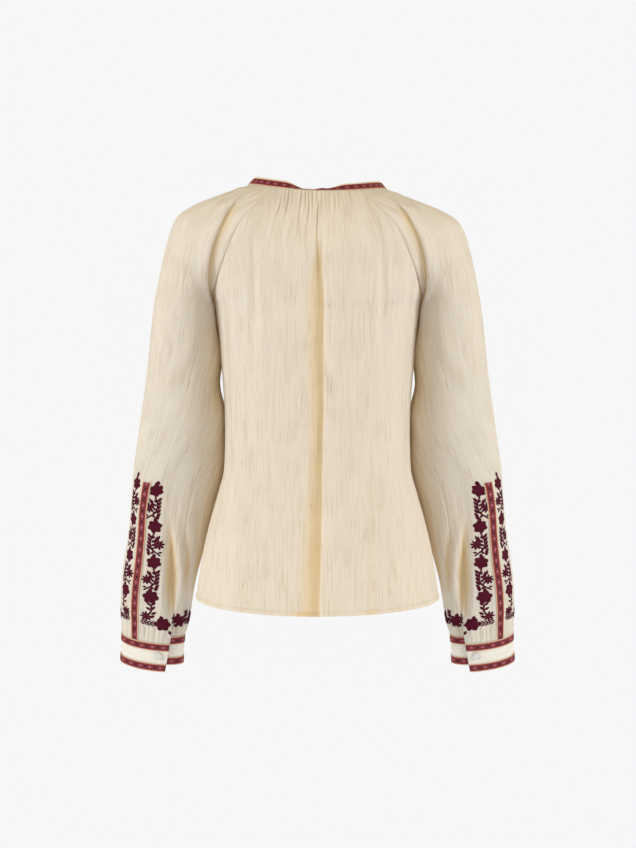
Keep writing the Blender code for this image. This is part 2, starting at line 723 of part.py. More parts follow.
def main():
    for old in list(bpy.data.objects):
        bpy.data.objects.remove(old, do_unlink=True)

    gauze = fabric("cotton_gauze", (0.82, 0.73, 0.56), 0.9)
    band_cloth = fabric("doubled_gauze", (0.80, 0.70, 0.54), 0.9)
    ribbon = fabric("woven_ribbon", (0.30, 0.04, 0.05), 0.75)
    pearl = fabric("pearl_button", (0.78, 0.76, 0.72), 0.25)

    back_places = panel_columns(BACK_COLUMNS, PLEAT_CROWDING)
    front_places = panel_columns(FRONT_COLUMNS, 0.0)
    around = sleeve_columns()
    seams = Seams(panel_base(1, back_places), panel_base(-1, front_places), sleeve_base(around))

    panel_rows = len(RAGLAN_PLACES) + len(BODY_PLACES)
    gathered = [row < GATHERED_ROWS_NECK for row in range(panel_rows)]
    for name, side, places, folds, pleated in (
        ("back_panel", 1, back_places, BACK_FOLDS, True),
        ("front_panel", -1, front_places, FRONT_FOLDS, False),
    ):
        outer, inner = finish_panel(side, places, folds, seams, len(places) - 1, pleated)
        wall(name, thin_out(outer, gathered), thin_out(inner, gathered), gauze)

    outer, inner = finish_sleeve(around, seams)
    outs = (outer - inner) / CLOTH
    sleeve_rows = len(outer)
    gathered = [
        row < GATHERED_ROWS_SHOULDER or row >= sleeve_rows - GATHERED_ROWS_CUFF
        for row in range(sleeve_rows)
    ]
    for side, flip in (("left", keep_same), ("right", mirror_points)):
        wall(
            "sleeve_" + side,
            thin_out(flip(outer), gathered),
            thin_out(flip(inner), gathered),
            gauze,
        )
        make_sleeve_ribbon(side, flip, around, outer, outs, gathered, ribbon)
        cuff = make_cuff(side, flip, band_cloth, ribbon)
        make_button(side, flip, cuff, pearl)
    make_neck(band_cloth, ribbon)


main()
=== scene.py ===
# %% [markdown]
# An embroidered blouse of crinkled cotton gauze
#
# The blouse hangs as it does when it is worn. The imported model gives its frame: the cut of the back,
# the front and the sleeves, the neck band and the cuffs. This script dresses that frame. It lays thin
# gathered cloth on the same forms, then adds woven ribbon, embroidery and stitching, and gives the
# buttons a finish.

import math
from collections import namedtuple

import bpy
import numpy as np
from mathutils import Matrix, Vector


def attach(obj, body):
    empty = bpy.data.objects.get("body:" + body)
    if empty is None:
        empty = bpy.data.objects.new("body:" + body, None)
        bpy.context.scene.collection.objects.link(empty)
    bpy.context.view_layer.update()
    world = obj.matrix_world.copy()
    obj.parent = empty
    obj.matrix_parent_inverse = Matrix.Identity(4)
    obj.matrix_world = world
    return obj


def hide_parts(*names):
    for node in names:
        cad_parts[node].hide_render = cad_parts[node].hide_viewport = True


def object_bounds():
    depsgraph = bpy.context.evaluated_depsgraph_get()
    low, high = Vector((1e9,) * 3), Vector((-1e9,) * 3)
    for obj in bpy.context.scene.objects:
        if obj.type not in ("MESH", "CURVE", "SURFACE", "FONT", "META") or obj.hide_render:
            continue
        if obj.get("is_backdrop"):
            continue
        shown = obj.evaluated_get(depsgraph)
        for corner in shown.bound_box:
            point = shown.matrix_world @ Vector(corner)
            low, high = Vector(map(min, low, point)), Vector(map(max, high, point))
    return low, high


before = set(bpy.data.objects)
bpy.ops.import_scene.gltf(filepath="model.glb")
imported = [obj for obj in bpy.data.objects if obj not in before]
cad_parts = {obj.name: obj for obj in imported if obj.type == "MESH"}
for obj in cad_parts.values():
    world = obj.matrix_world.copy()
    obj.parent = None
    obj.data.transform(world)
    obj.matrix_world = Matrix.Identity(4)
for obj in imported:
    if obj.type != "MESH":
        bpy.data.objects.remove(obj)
cad_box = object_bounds()
print("CAD box, metres:", [[round(value, 4) for value in corner] for corner in cad_box])

# %% [markdown]
# The cut of the blouse
#
# A maker describes a garment by a few measures at a few heights. The tables below do the same, and a
# smooth cubic runs through their rows. They could be replaced by a sculpted mesh, but a table keeps the
# seams of neighbouring pieces on exactly the same line. Sizes are in millimetres, +X is the wearer's
# left, the front faces -Y, and the origin is at the height of the neck seam.

# %% Measures of the neck, the raglan seams, the body and the arm
MM = 0.001
GAUZE_THICKNESS = 1.0

NECK_HALF_WIDTH = 96.6
NECK_HALF_DEPTH = 80.0
NECK_DROP_BACK = 12.0
NECK_DROP_FRONT = 55.0

# An arc over the shoulder: its half depth, its turn in degrees from the ridge to each seam, and the
# places of the back seam, the front seam and the ridge.
Raglan = namedtuple("Raglan", "depth turn back_x back_z front_x front_z ridge_x ridge_z")
RAGLAN = [
    Raglan(80.0, 52.7, 58.5, -7.6, 58.5, -34.8, 96.6, 0.0),
    Raglan(89.0, 60.0, 76.0, -25.0, 74.0, -50.0, 117.0, -11.5),
    Raglan(92.0, 68.0, 91.0, -39.0, 88.0, -66.0, 139.0, -19.5),
    Raglan(90.0, 76.0, 104.0, -53.0, 101.0, -84.0, 162.0, -28.0),
    Raglan(84.5, 84.0, 115.0, -73.0, 112.0, -101.0, 181.0, -36.5),
    Raglan(77.0, 95.0, 124.5, -94.0, 121.5, -117.0, 196.0, -46.0),
    Raglan(68.0, 108.0, 133.0, -114.5, 130.0, -132.0, 206.0, -65.0),
    Raglan(61.0, 128.0, 139.5, -133.0, 137.0, -146.0, 213.5, -91.0),
    Raglan(57.0, 153.0, 144.0, -149.0, 142.0, -157.0, 221.0, -125.0),
    Raglan(55.0, 180.0, 144.0, -165.0, 144.0, -165.0, 228.0, -160.0),
]

# The centre lines of the back and the front beside each arc, and the turn from there to the seam.
Yoke = namedtuple("Yoke", "back_y back_z front_y front_z turn")
YOKE = [
    Yoke(80.0, -12.0, -80.0, -55.0, 37.3),
    Yoke(91.0, -31.0, -90.0, -72.0, 42.0),
    Yoke(99.0, -49.0, -98.0, -88.0, 47.0),
    Yoke(106.0, -68.0, -105.0, -104.0, 53.0),
    Yoke(111.0, -88.0, -110.0, -119.0, 58.0),
    Yoke(114.5, -107.0, -114.0, -133.0, 63.0),
    Yoke(117.0, -125.0, -117.0, -146.0, 69.0),
    Yoke(118.5, -142.0, -119.5, -158.0, 76.0),
    Yoke(119.0, -158.0, -121.0, -168.0, 84.0),
    Yoke(119.0, -172.0, -122.0, -178.0, 90.0),
]

# Below the underarm: the side seam's height and half width, and the two centre lines.
Body = namedtuple("Body", "seam_z half_width back_y back_z front_y front_z")
BODY = [
    Body(-165.0, 144.0, 119.0, -172.0, -122.0, -178.0),
    Body(-205.0, 138.5, 118.0, -212.0, -124.0, -216.0),
    Body(-245.0, 135.0, 116.0, -252.0, -123.0, -255.0),
    Body(-285.0, 131.5, 114.0, -292.0, -120.0, -294.0),
    Body(-325.0, 129.5, 113.0, -332.0, -117.0, -334.0),
    Body(-365.0, 129.5, 113.0, -373.0, -116.0, -374.0),
    Body(-400.0, 131.5, 114.5, -409.0, -117.0, -410.0),
    Body(-435.0, 141.0, 117.0, -445.0, -119.5, -446.0),
    Body(-470.0, 151.0, 120.0, -482.0, -122.5, -482.0),
    Body(-505.0, 159.0, 123.0, -519.0, -125.5, -519.0),
    Body(-540.0, 165.0, 126.0, -556.0, -128.0, -555.0),
    Body(-574.0, 170.0, 129.0, -592.0, -130.0, -590.0),
]

# A ring about the arm: its centre and half sizes and, in degrees, its twist, its lean, and how far
# its seam has turned from the inside of the arm.
Arm = namedtuple("Arm", "x y z half_width half_depth twist lean seam")
ARM = [
    Arm(186.0, -2.5, -162.5, 42.0, 55.0, 0.0, 0.0, 0.0),
    Arm(188.5, -3.5, -196.0, 44.0, 53.5, 0.0, 0.0, 0.0),
    Arm(188.5, -5.0, -235.0, 48.0, 51.5, 0.0, 0.0, 0.0),
    Arm(190.5, -7.0, -277.0, 51.0, 49.0, 0.0, 2.0, -6.0),
    Arm(193.0, -11.0, -318.0, 54.5, 46.5, 0.0, 5.0, -20.0),
    Arm(194.5, -17.0, -358.0, 59.0, 44.0, 0.0, 9.0, -42.0),
    Arm(198.0, -26.0, -397.0, 61.5, 42.5, -1.0, 12.0, -60.0),
    Arm(204.0, -36.0, -440.0, 59.5, 41.0, -3.0, 14.0, -64.0),
    Arm(210.5, -46.0, -484.0, 57.5, 40.0, -6.0, 16.0, -60.0),
    Arm(219.3, -55.0, -520.0, 55.3, 38.0, -8.0, 17.0, -54.5),
    Arm(226.0, -63.0, -552.0, 53.5, 36.0, -10.0, 18.0, -52.0),
    Arm(230.3, -72.0, -586.0, 51.6, 31.0, -13.0, 19.0, -50.5),
    Arm(232.0, -77.0, -608.0, 49.5, 26.0, -14.0, 20.0, -50.0),
    Arm(235.0, -82.0, -631.0, 46.5, 20.0, -15.0, 20.0, -50.0),
]
print("rows: raglan", len(RAGLAN), "body", len(BODY), "arm", len(ARM))

# %% Small tools for points
def spread(table, places):
    """Read a table between its rows: each column is a smooth cubic through them."""
    rows = np.array(table, float)
    padded = np.vstack([2 * rows[0] - rows[1], rows, 2 * rows[-1] - rows[-2]])
    places = np.asarray(places, float)
    start = np.minimum(places.astype(int), len(rows) - 2)
    t = (places - start)[:, None]
    before, here, there, after = (padded[start + k] for k in range(4))
    leave = (there - before) / 2
    arrive = (after - here) / 2
    values = (
        here * (2 * t**3 - 3 * t**2 + 1)
        + leave * (t**3 - 2 * t**2 + t)
        + there * (3 * t**2 - 2 * t**3)
        + arrive * (t**3 - t**2)
    )
    return type(table[0])(*(column[:, None] for column in values.T))


Single = namedtuple("Single", "value")


def read_column(numbers, places):
    """Read one column of numbers between its entries, by the same smooth cubic."""
    return spread([Single(number) for number in numbers], places).value


def stack(*parts):
    """Join arrays of coordinates into points."""
    return np.stack(np.broadcast_arrays(*parts), axis=-1)


def unit(vectors):
    """Each vector divided by its length."""
    return vectors / np.linalg.norm(vectors, axis=-1, keepdims=True)


def smooth(low, high, value):
    """Rise from 0 at low to 1 at high as 3t^2 - 2t^3."""
    t = np.clip((value - low) / (high - low), 0, 1)
    return t * t * (3 - 2 * t)


def hump(value, middle, width):
    """Bell curve of height one about a middle."""
    return np.exp(-(((value - middle) / width) ** 2))


def normals(points):
    """Directions out of a grid: its step across, crossed with its step down."""
    down = np.gradient(points, axis=0)
    across = np.gradient(points, axis=1)
    return unit(np.cross(across, down))


def run_along(line):
    """Distance of each point of a line from its first, as the sum of the steps before it."""
    return np.concatenate([[0], np.cumsum(np.linalg.norm(np.diff(line, axis=0), axis=1))])


def down_rows(points):
    """Distance of each row from the first, measured down the middle column."""
    return run_along(points[:, points.shape[1] // 2])[:, None]


NOISE_CELLS = 256


def noise(u, v, seed):
    """Soft random heights from -1 to 1: one for each whole u and v, and smooth steps between them."""
    cells = np.random.default_rng(seed).uniform(-1, 1, (NOISE_CELLS, NOISE_CELLS))
    u, v = np.broadcast_arrays(u, v)
    i = np.floor(u).astype(int)
    j = np.floor(v).astype(int)
    s = smooth(0, 1, u - i)
    t = smooth(0, 1, v - j)
    i, next_i = i % NOISE_CELLS, (i + 1) % NOISE_CELLS
    j, next_j = j % NOISE_CELLS, (j + 1) % NOISE_CELLS
    near = cells[i, j] * (1 - s) + cells[next_i, j] * s
    far = cells[i, next_j] * (1 - s) + cells[next_i, next_j] * s
    return near * (1 - t) + far * t


print("noise check:", np.round(noise(np.array([0.0, 0.5, 1.0]), 0.0, 1), 3))

# %% [markdown]
# Flat forms of the pieces
#
# Each row of the back and the front is part of an ellipse from seam to seam. Each row of a sleeve is an
# arc over the shoulder, and below the underarm it is a leaning ring. Cloth simulation could drape the
# pieces from flat patterns, but these forms follow the worn shape directly and repeat exactly.

# %% Rows of the pieces, before folds
PANEL_COLUMNS = 236
SLEEVE_COLUMNS = 192
RAGLAN_STEPS = 8
BODY_STEPS = 10
HEM_STEPS = 20
ARM_STEPS = 13
raglan_places = np.linspace(0, len(RAGLAN) - 1, (len(RAGLAN) - 1) * RAGLAN_STEPS + 1)
body_places = np.linspace(0, len(BODY) - 1, (len(BODY) - 1) * BODY_STEPS + 1)[1:]
hem_places = np.linspace(len(BODY) - 2, len(BODY) - 1, HEM_STEPS + 1)
body_places = np.concatenate([body_places[: -BODY_STEPS], hem_places[1:]])
arm_places = np.linspace(0, len(ARM) - 1, (len(ARM) - 1) * ARM_STEPS + 1)[1:]

NECK_EASE_ROWS = 8


def neck_point(angle):
    """Neck seam at an angle from the centre back: an ellipse, lower in front than behind."""
    drop = np.where(np.cos(angle) > 0, NECK_DROP_BACK, NECK_DROP_FRONT)
    x = NECK_HALF_WIDTH * np.sin(angle)
    y = NECK_HALF_DEPTH * np.cos(angle)
    return stack(x, y, -drop * np.cos(angle) ** 2)


def ease(points, first_row, rows):
    """Move the top rows so that the first lies on first_row, less and less over a number of rows."""
    share = 1 - smooth(0, rows, np.arange(len(points)))[:, None, None]
    return points + (first_row - points[0]) * share


def panel_base(side, place):
    """Back (side 1) or front (side -1): x goes by the sine of an angle, y and z by its cosine."""
    seam = spread(RAGLAN, raglan_places)
    yoke = spread(YOKE, raglan_places)
    body = spread(BODY, body_places)
    letter = "back" if side > 0 else "front"

    seam_x = np.vstack([getattr(seam, letter + "_x"), body.half_width])
    seam_z = np.vstack([getattr(seam, letter + "_z"), body.seam_z])
    reach = seam.depth * np.sin(np.radians(seam.turn)) * side
    seam_y = np.vstack([reach, 0 * body.seam_z])
    centre_y = np.vstack([getattr(yoke, letter + "_y"), getattr(body, letter + "_y")])
    centre_z = np.vstack([getattr(yoke, letter + "_z"), getattr(body, letter + "_z")])
    turn = np.radians(np.vstack([yoke.turn, 90 + 0 * body.seam_z]))

    angle = turn * place
    fall = (1 - np.cos(angle)) / (1 - np.cos(turn))
    x = seam_x * np.sin(angle) / np.sin(turn)
    y = centre_y + (seam_y - centre_y) * fall
    z = centre_z + (seam_z - centre_z) * fall
    neck_angle = angle[0] if side > 0 else math.pi - angle[0]
    return ease(stack(x, y, z), neck_point(neck_angle), NECK_EASE_ROWS)


def sleeve_top(around):
    """Sleeve above the underarm: arcs from the back seam over the ridge to the front seam."""
    rows = spread(RAGLAN, raglan_places)
    turn = np.radians(rows.turn)
    angle = -turn * around
    rise = (np.cos(angle) - np.cos(turn)) / (1 - np.cos(turn))
    odd = -np.sin(around * math.pi / 2)
    middle_x = (rows.back_x + rows.front_x) / 2
    middle_z = (rows.back_z + rows.front_z) / 2
    x = middle_x + (rows.ridge_x - middle_x) * rise + (rows.back_x - rows.front_x) / 2 * odd
    z = middle_z + (rows.ridge_z - middle_z) * rise + (rows.back_z - rows.front_z) / 2 * odd
    points = stack(x, rows.depth * np.sin(angle), z)
    return ease(points, neck_point(math.pi / 2 - angle[0]), NECK_EASE_ROWS)


# The slit of the sleeve: its buttoned side stands off the other one and has slipped down past it.
CUFF_OVERLAP_LIFT = 3.4
CUFF_LIFT_ENDS = -0.15
CUFF_SLIP = 5.0
SLIT_RISE = 60.0


def arm_ring(rows, around):
    """Ellipses about the arm, turned by twist and leaning down towards the back."""
    angle = np.radians(rows.seam) - math.pi * around
    twist = np.radians(rows.twist)
    long_way = rows.half_width * np.cos(angle)
    short_way = rows.half_depth * np.sin(angle)
    x = rows.x + long_way * np.cos(twist) - short_way * np.sin(twist)
    y = rows.y + long_way * np.sin(twist) + short_way * np.cos(twist)
    z = rows.z - np.tan(np.radians(rows.lean)) * (y - rows.y)
    return stack(x, y, z)


def ring_normals(ring):
    """Level directions out of a ring: up crossed with the step along it."""
    along = np.gradient(ring, axis=-2)
    return unit(np.cross(np.array([0.0, 0.0, 1.0]), along))


def overlap_lift(around):
    """How far the buttoned end of a cuff stands off the end under it."""
    return CUFF_OVERLAP_LIFT * (1 - smooth(-1.0, CUFF_LIFT_ENDS, around))


def cuff_slip(around):
    """How far the two ends of a closed cuff have slipped past each other."""
    return CUFF_SLIP * np.clip(around, -1, 1)


# How far the inside of the arm leans towards the body, beside each row of the arm's table.
BODY_SIDE_EASE = (1.0, 6.0, 7.8, 3.6, 12.5, 7.5, 4.2, 1.0, 0, 0, 0, 0, 0, 0)
BODY_SIDE_SPREAD = 0.30


def from_inside(rows, around):
    """Place round the arm, in half rounds from the line that faces the body."""
    return (np.radians(rows.seam) / math.pi - around + 2) % 2 - 1


def body_side_ease(rows, around):
    """The lean towards the body: its size on the inside of the arm, and a bell round it."""
    push = read_column(BODY_SIDE_EASE, arm_places)
    return push * hump(from_inside(rows, around), 0.0, BODY_SIDE_SPREAD)


def sleeve_base(around):
    """Whole sleeve: the arcs over the shoulder, then the rings down to the cuff."""
    top = sleeve_top(around)
    rows = spread(ARM, arm_places)
    rings = arm_ring(rows, around)
    start = arm_ring(spread(ARM, [0.0]), around)[0]
    share = 1 - smooth(0.0, 1.0, arm_places)[:, None, None]
    rings = rings + (top[-1] - start) * share
    opened = 1 - smooth(0.0, SLIT_RISE, rows.z - rows.z[-1])
    rings = rings + ring_normals(rings) * (opened * overlap_lift(around))[..., None]
    rings[..., 2] += opened * cuff_slip(around)
    rings[..., 0] -= body_side_ease(rows, around)
    return np.vstack([top, rings])


COLUMN_SAMPLES = 2001
PLEAT_PLACE = -0.03
PLEAT_SPAN = 0.10
PLEAT_CROWDING = 1.6


def panel_columns(crowding):
    """Places from -1 to 1 across a panel, closer together about the centre-back fold."""
    even = np.linspace(-1, 1, COLUMN_SAMPLES)
    weight = 1 + crowding * hump(even, PLEAT_PLACE + PLEAT_SPAN / 2, PLEAT_SPAN)
    total = np.concatenate([[0], np.cumsum((weight[1:] + weight[:-1]) / 2)])
    return np.interp(np.linspace(0, total[-1], PANEL_COLUMNS + 1), total, even)


back_places = panel_columns(PLEAT_CROWDING)
front_places = panel_columns(0.0)
around = np.linspace(-1, 1, SLEEVE_COLUMNS + 1)
back_base = panel_base(1, back_places)
front_base = panel_base(-1, front_places)
sleeve_form = sleeve_base(around)
print("grids:", back_base.shape[:2], front_base.shape[:2], sleeve_form.shape[:2])

# %% [markdown]
# Gathers, folds and crinkle
#
# Cloth drawn in on a thread stands up in round tubes with narrow valleys. Farther down they open into
# soft folds, and crinkle gauze adds fine creases along the grain everywhere. All of this is written as
# heights over the flat forms, so it stays thin cloth on the right form and can be placed by hand.

# %% Gathers and crinkle
GATHER_WOBBLE = 0.35
GATHER_WOBBLE_LENGTH = 60.0
GATHER_ROUNDNESS = 0.8
GATHER_UNEVENNESS = 0.45
GATHER_UNEVEN_LENGTH = 90.0
Gathers = namedtuple("Gathers", "count height begins full fades ends seed")


def gather_height(rows, place, below):
    """Round tubes with narrow valleys: the size of a bent sine, faded in and out below the seam."""
    total = 0 * place * below
    for row in rows:
        wobble = noise(place * row.count * 0.5, below / GATHER_WOBBLE_LENGTH, row.seed)
        bend = wobble * GATHER_WOBBLE
        change = noise(place * row.count * 0.37, below / GATHER_UNEVEN_LENGTH, row.seed + 1)
        uneven = 0.75 + GATHER_UNEVENNESS * change
        wave = 1.6 * np.abs(np.sin(math.pi * (row.count * place / 2 + bend))) ** GATHER_ROUNDNESS - 1.0
        share = smooth(row.begins, row.full, below) * (1 - smooth(row.fades, row.ends, below))
        total = total + row.height * uneven * share * wave
    return total


CRINKLE_ACROSS = 5.5
CRINKLE_ALONG = 190.0
CRINKLE_HEIGHT = 0.21
CRINKLE_DRIFT = 0.4
DRIFT_ACROSS = 60.0
DRIFT_ALONG = 260.0
FINE_ACROSS = 1.9
FINE_ALONG = 1.7
FINE_SHARE = 0.6


def crinkle(across, below, seed):
    """Fine irregular creases along the grain, from two sizes of stretched noise."""
    drift = CRINKLE_DRIFT * noise(across / DRIFT_ACROSS, below / DRIFT_ALONG, seed)
    wide = noise(across / CRINKLE_ACROSS + drift, below / CRINKLE_ALONG, seed + 1)
    fine_across = across / CRINKLE_ACROSS * FINE_ACROSS + drift
    fine = noise(fine_across, below / CRINKLE_ALONG * FINE_ALONG, seed + 2)
    return CRINKLE_HEIGHT * (wide + FINE_SHARE * fine)


# A fold fades in and out over these shares of its length.
FOLD_BEGINS = (-0.15, 0.2)
FOLD_ENDS = (0.7, 1.15)
Fold = namedtuple("Fold", "start_place start end_place end height width")


def fold_height(folds, place, below):
    """Soft ridges, and troughs where the height is negative, along straight lines in the cloth."""
    total = 0 * place * below
    for fold in folds:
        along = (below - fold.start) / (fold.end - fold.start)
        middle = fold.start_place + (fold.end_place - fold.start_place) * along
        share = smooth(*FOLD_BEGINS, along) * (1 - smooth(*FOLD_ENDS, along))
        total = total + fold.height * share * hump(place, middle, fold.width)
    return total


# A fold or a gather lies at shares of the flat cut, from -1 on the wearer's right to 1 on the left. It
# starts and ends some millimetres below the neck, or above the cuff for the gathers of the cuff.
BACK_FOLDS = [
    Fold(0.40, 8, 0.43, 230, -2.4, 0.030),
    Fold(0.35, 8, 0.37, 260, 1.5, 0.040),
    Fold(0.56, 20, 0.62, 260, 2.2, 0.050),
    Fold(0.70, 120, 0.72, 420, -2.0, 0.040),
    Fold(-0.41, 8, -0.44, 230, -2.4, 0.030),
    Fold(-0.36, 8, -0.38, 260, 1.5, 0.040),
    Fold(-0.57, 20, -0.63, 260, 2.2, 0.050),
    Fold(-0.71, 120, -0.73, 420, -2.0, 0.040),
    Fold(0.22, 40, 0.23, 620, 1.6, 0.050),
    Fold(-0.17, 40, -0.18, 620, 1.8, 0.060),
    Fold(0.55, 330, 0.56, 680, 2.4, 0.070),
    Fold(-0.52, 330, -0.54, 680, 2.6, 0.070),
    Fold(-0.34, 360, -0.35, 680, -2.0, 0.050),
]
FRONT_FOLDS = [
    Fold(0.08, 30, 0.09, 640, 2.6, 0.060),
    Fold(-0.10, 30, -0.11, 620, -2.6, 0.060),
    Fold(0.34, 20, 0.36, 640, -3.0, 0.050),
    Fold(-0.33, 20, -0.34, 640, 2.8, 0.060),
    Fold(0.56, 30, 0.58, 640, 2.8, 0.070),
    Fold(-0.55, 30, -0.57, 640, -2.8, 0.060),
]
BACK_GATHERS = [
    Gathers(60, 2.1, -8, 5, 18, 60, 11),
    Gathers(27, 2.3, 4, 26, 44, 150, 14),
]
FRONT_GATHERS = [
    Gathers(62, 1.6, -8, 4, 16, 60, 21),
    Gathers(28, 2.2, 6, 34, 60, 190, 24),
]
SLEEVE_NECK_GATHERS = [
    Gathers(17, 1.2, -8, 6, 16, 60, 31),
    Gathers(9, 1.6, 6, 30, 45, 120, 34),
]
SLEEVE_CUFF_GATHERS = [
    Gathers(38, 1.3, -8, 3, 12, 42, 41),
    Gathers(19, 1.5, -4, 14, 24, 85, 44),
]


def edge_fade(columns, reach):
    """Zero at a piece's two side seams and one a few columns in."""
    index = np.arange(columns + 1)
    return smooth(0, reach, np.minimum(index, columns - index))


some_gathers = gather_height(BACK_GATHERS, back_places[::60], down_rows(back_base)[10:11])
print("gathers of the back, mm:", np.round(some_gathers, 2))

# %% The laid-over folds
# A laid-over fold has a rounded lip that hangs over a trough beside it, as at the centre back. Sizes of
# its parts are in spans: the lip lies before the edge, and the wall drops into the trough behind it.
LIP_MIDDLE = -0.28
LIP_WIDTH = 0.42
WALL_BEGINS = -0.12
WALL_ENDS = 0.16
TROUGH_RISES = 0.2
SLIDE_MIDDLE = -0.05
SLIDE_WIDTH = 0.24
LAP_SLIDE = 4.0
Lap = namedtuple("Lap", "places begins full fades ends lip trough reach span toward")


def lap_offset(lap, place, below):
    """Distance across from the fold's edge, in spans, positive on the trough's side."""
    knots = np.linspace(lap.begins, lap.ends, len(lap.places))
    edge = np.interp(below, knots, lap.places)
    return (place - edge) / lap.span * lap.toward


def lap_shift(lap, place, below):
    """Height and sideways slide of a laid-over fold: a lip, a steep wall, and a slow way back."""
    offset = lap_offset(lap, place, below)
    share = smooth(lap.begins, lap.full, below) * (1 - smooth(lap.fades, lap.ends, below))
    lip = lap.lip * hump(offset, LIP_MIDDLE, LIP_WIDTH)
    wall = smooth(WALL_BEGINS, WALL_ENDS, offset)
    trough = -lap.trough * wall * (1 - smooth(TROUGH_RISES, lap.reach, offset))
    slide = hump(offset, SLIDE_MIDDLE, SLIDE_WIDTH)
    return share * (lip + trough), share * slide * lap.toward * LAP_SLIDE


CENTRE_EDGE = (-0.078, -0.066, -0.070, -0.052, -0.032, -0.024, -0.020, -0.020)
CENTRE_LAP = Lap(CENTRE_EDGE, 38, 120, 900, 1000, 2.8, 5.2, 1.8, 0.13, 1)
SLEEVE_EDGE = (-0.66, -0.79, -0.85, -0.885, -0.90)
SLEEVE_LAP = Lap(SLEEVE_EDGE, 20, 75, 210, 300, 3.0, 5.0, 1.7, 0.12, -1)
print("centre lap:", CENTRE_LAP.lip, "mm lip over a trough of", CENTRE_LAP.trough, "mm")

# %% [markdown]
# The walls of cloth
#
# A garment piece is a closed wall: an outer grid, an inner grid a cloth's thickness behind it, and rims
# all round. One function makes such a wall from two grids of points. A modifier could thicken a single
# sheet, but two grids keep each rim where the maker sews it. Every wall carries a UV map in metres of
# flat cloth, so that its weave keeps its real size. The panels and the sleeves also carry the heights of
# their folds, under the name fold, from which the finish paints a warm tint of bounced light and a tan
# shade into the troughs.

# %% Closed walls from two grids
def wall_faces(rows, columns, ring):
    """Corner rows and columns of the quads of a grid; a ring's last column joins its first."""
    spans = columns if ring else columns - 1
    r, c = (index.ravel() for index in np.meshgrid(np.arange(rows - 1), np.arange(spans), indexing="ij"))
    return np.stack([r, r, r + 1, r + 1], 1), np.stack([c, c + 1, c + 1, c], 1)


print("a grid of 3 by 4 points has", len(wall_faces(3, 4, False)[0]), "quads")

NECK_TILT = 0.030
NECK_SETTLE = 1.2
TILT_REACH = 90.0
SHARP_ANGLE = 55.0


def tilted(points):
    """The neck sits a little lower on the wearer's right, fading out down to the underarms."""
    share = smooth(-TILT_REACH, 0.0, points[:, 2])
    lower = (NECK_SETTLE - NECK_TILT * points[:, 0]) * share
    return points - stack(0.0, 0.0, lower)


def make_wall(name, outer, inner, uv, finish, ring=False, flip=False, fold=None):
    """A closed wall: outer quads, inner quads turned round, and quads along every open edge.

    faces holds rows, columns and layers of corners, where layer 0 is the outer grid. The wall may be a
    ring, and its faces may be flipped. Its UV map may have one more column than a ring's points.
    """
    rows, columns = outer.shape[:2]
    half = rows * columns
    face_r, face_c = wall_faces(rows, columns, ring)
    spans = columns if ring else columns - 1
    c = np.arange(spans)
    r = np.arange(rows - 1)
    last = rows - 1
    faces = [(face_r, face_c, np.zeros(4, int)), (face_r[:, ::-1], face_c[:, ::-1], np.ones(4, int))]
    layers = np.array([0, 0, 1, 1])
    zero = 0 * c
    faces.append((np.stack([zero] * 4, 1), np.stack([c + 1, c, c, c + 1], 1), layers))
    faces.append((np.stack([zero + last] * 4, 1), np.stack([c, c + 1, c + 1, c], 1), layers))
    if not ring:
        zero = 0 * r
        faces.append((np.stack([r, r + 1, r + 1, r], 1), np.stack([zero] * 4, 1), layers))
        edge = zero + columns - 1
        faces.append((np.stack([r + 1, r, r, r + 1], 1), np.stack([edge] * 4, 1), layers))
    corners = np.concatenate([fr * columns + fc % columns + layer * half for fr, fc, layer in faces])
    corner_uv = np.concatenate([uv[fr, fc] for fr, fc, layer in faces])
    if flip:
        corners = corners[:, ::-1]
        corner_uv = corner_uv[:, ::-1]
    points = tilted(np.concatenate([outer.reshape(-1, 3), inner.reshape(-1, 3)])) * MM
    mesh = bpy.data.meshes.new(name)
    mesh.from_pydata(points.tolist(), [], corners.tolist())
    layer = mesh.uv_layers.new(name="cloth")
    layer.data.foreach_set("uv", corner_uv.astype(np.float32).ravel())
    if fold is not None:
        attribute = mesh.attributes.new("fold", "FLOAT", "POINT")
        attribute.data.foreach_set("value", np.tile(fold.ravel(), 2).astype(np.float32))
    mesh.shade_smooth()
    mesh.set_sharp_from_angle(angle=math.radians(SHARP_ANGLE))
    return add_piece(name, mesh, finish)


def add_piece(name, mesh, finish):
    """Put a finished mesh into the scene, riding on the blouse's one body."""
    mesh.materials.append(finish)
    piece = bpy.data.objects.new(name, mesh)
    bpy.context.scene.collection.objects.link(piece)
    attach(piece, "root")
    print(name, "has", sum(len(face.vertices) - 2 for face in mesh.polygons), "triangles")
    return piece


# The name of each side, and whether its pieces are mirrored.
SIDES = (("left", False), ("right", True))


def mirrored(points):
    """The same points on the other side of the centre plane."""
    return points * np.array([-1.0, 1.0, 1.0])


def make_side(name, outer, inner, uv, finish, flip, fold=None):
    """A wall of the wearer's left sleeve, or its mirror image on the right where flip is true."""
    if flip:
        outer, inner = mirrored(outer), mirrored(inner)
    return make_wall(name, outer, inner, uv, finish, flip=flip, fold=fold)


# %% [markdown]
# Shader maths
#
# A finish is a small sum of patterns. Writing those sums as node wiring is slow to read, so a value
# wraps a node's output and understands plus, minus, times and divide. Every other node is added by one
# method that takes its type, its settings, and the numbers or links of its sockets.

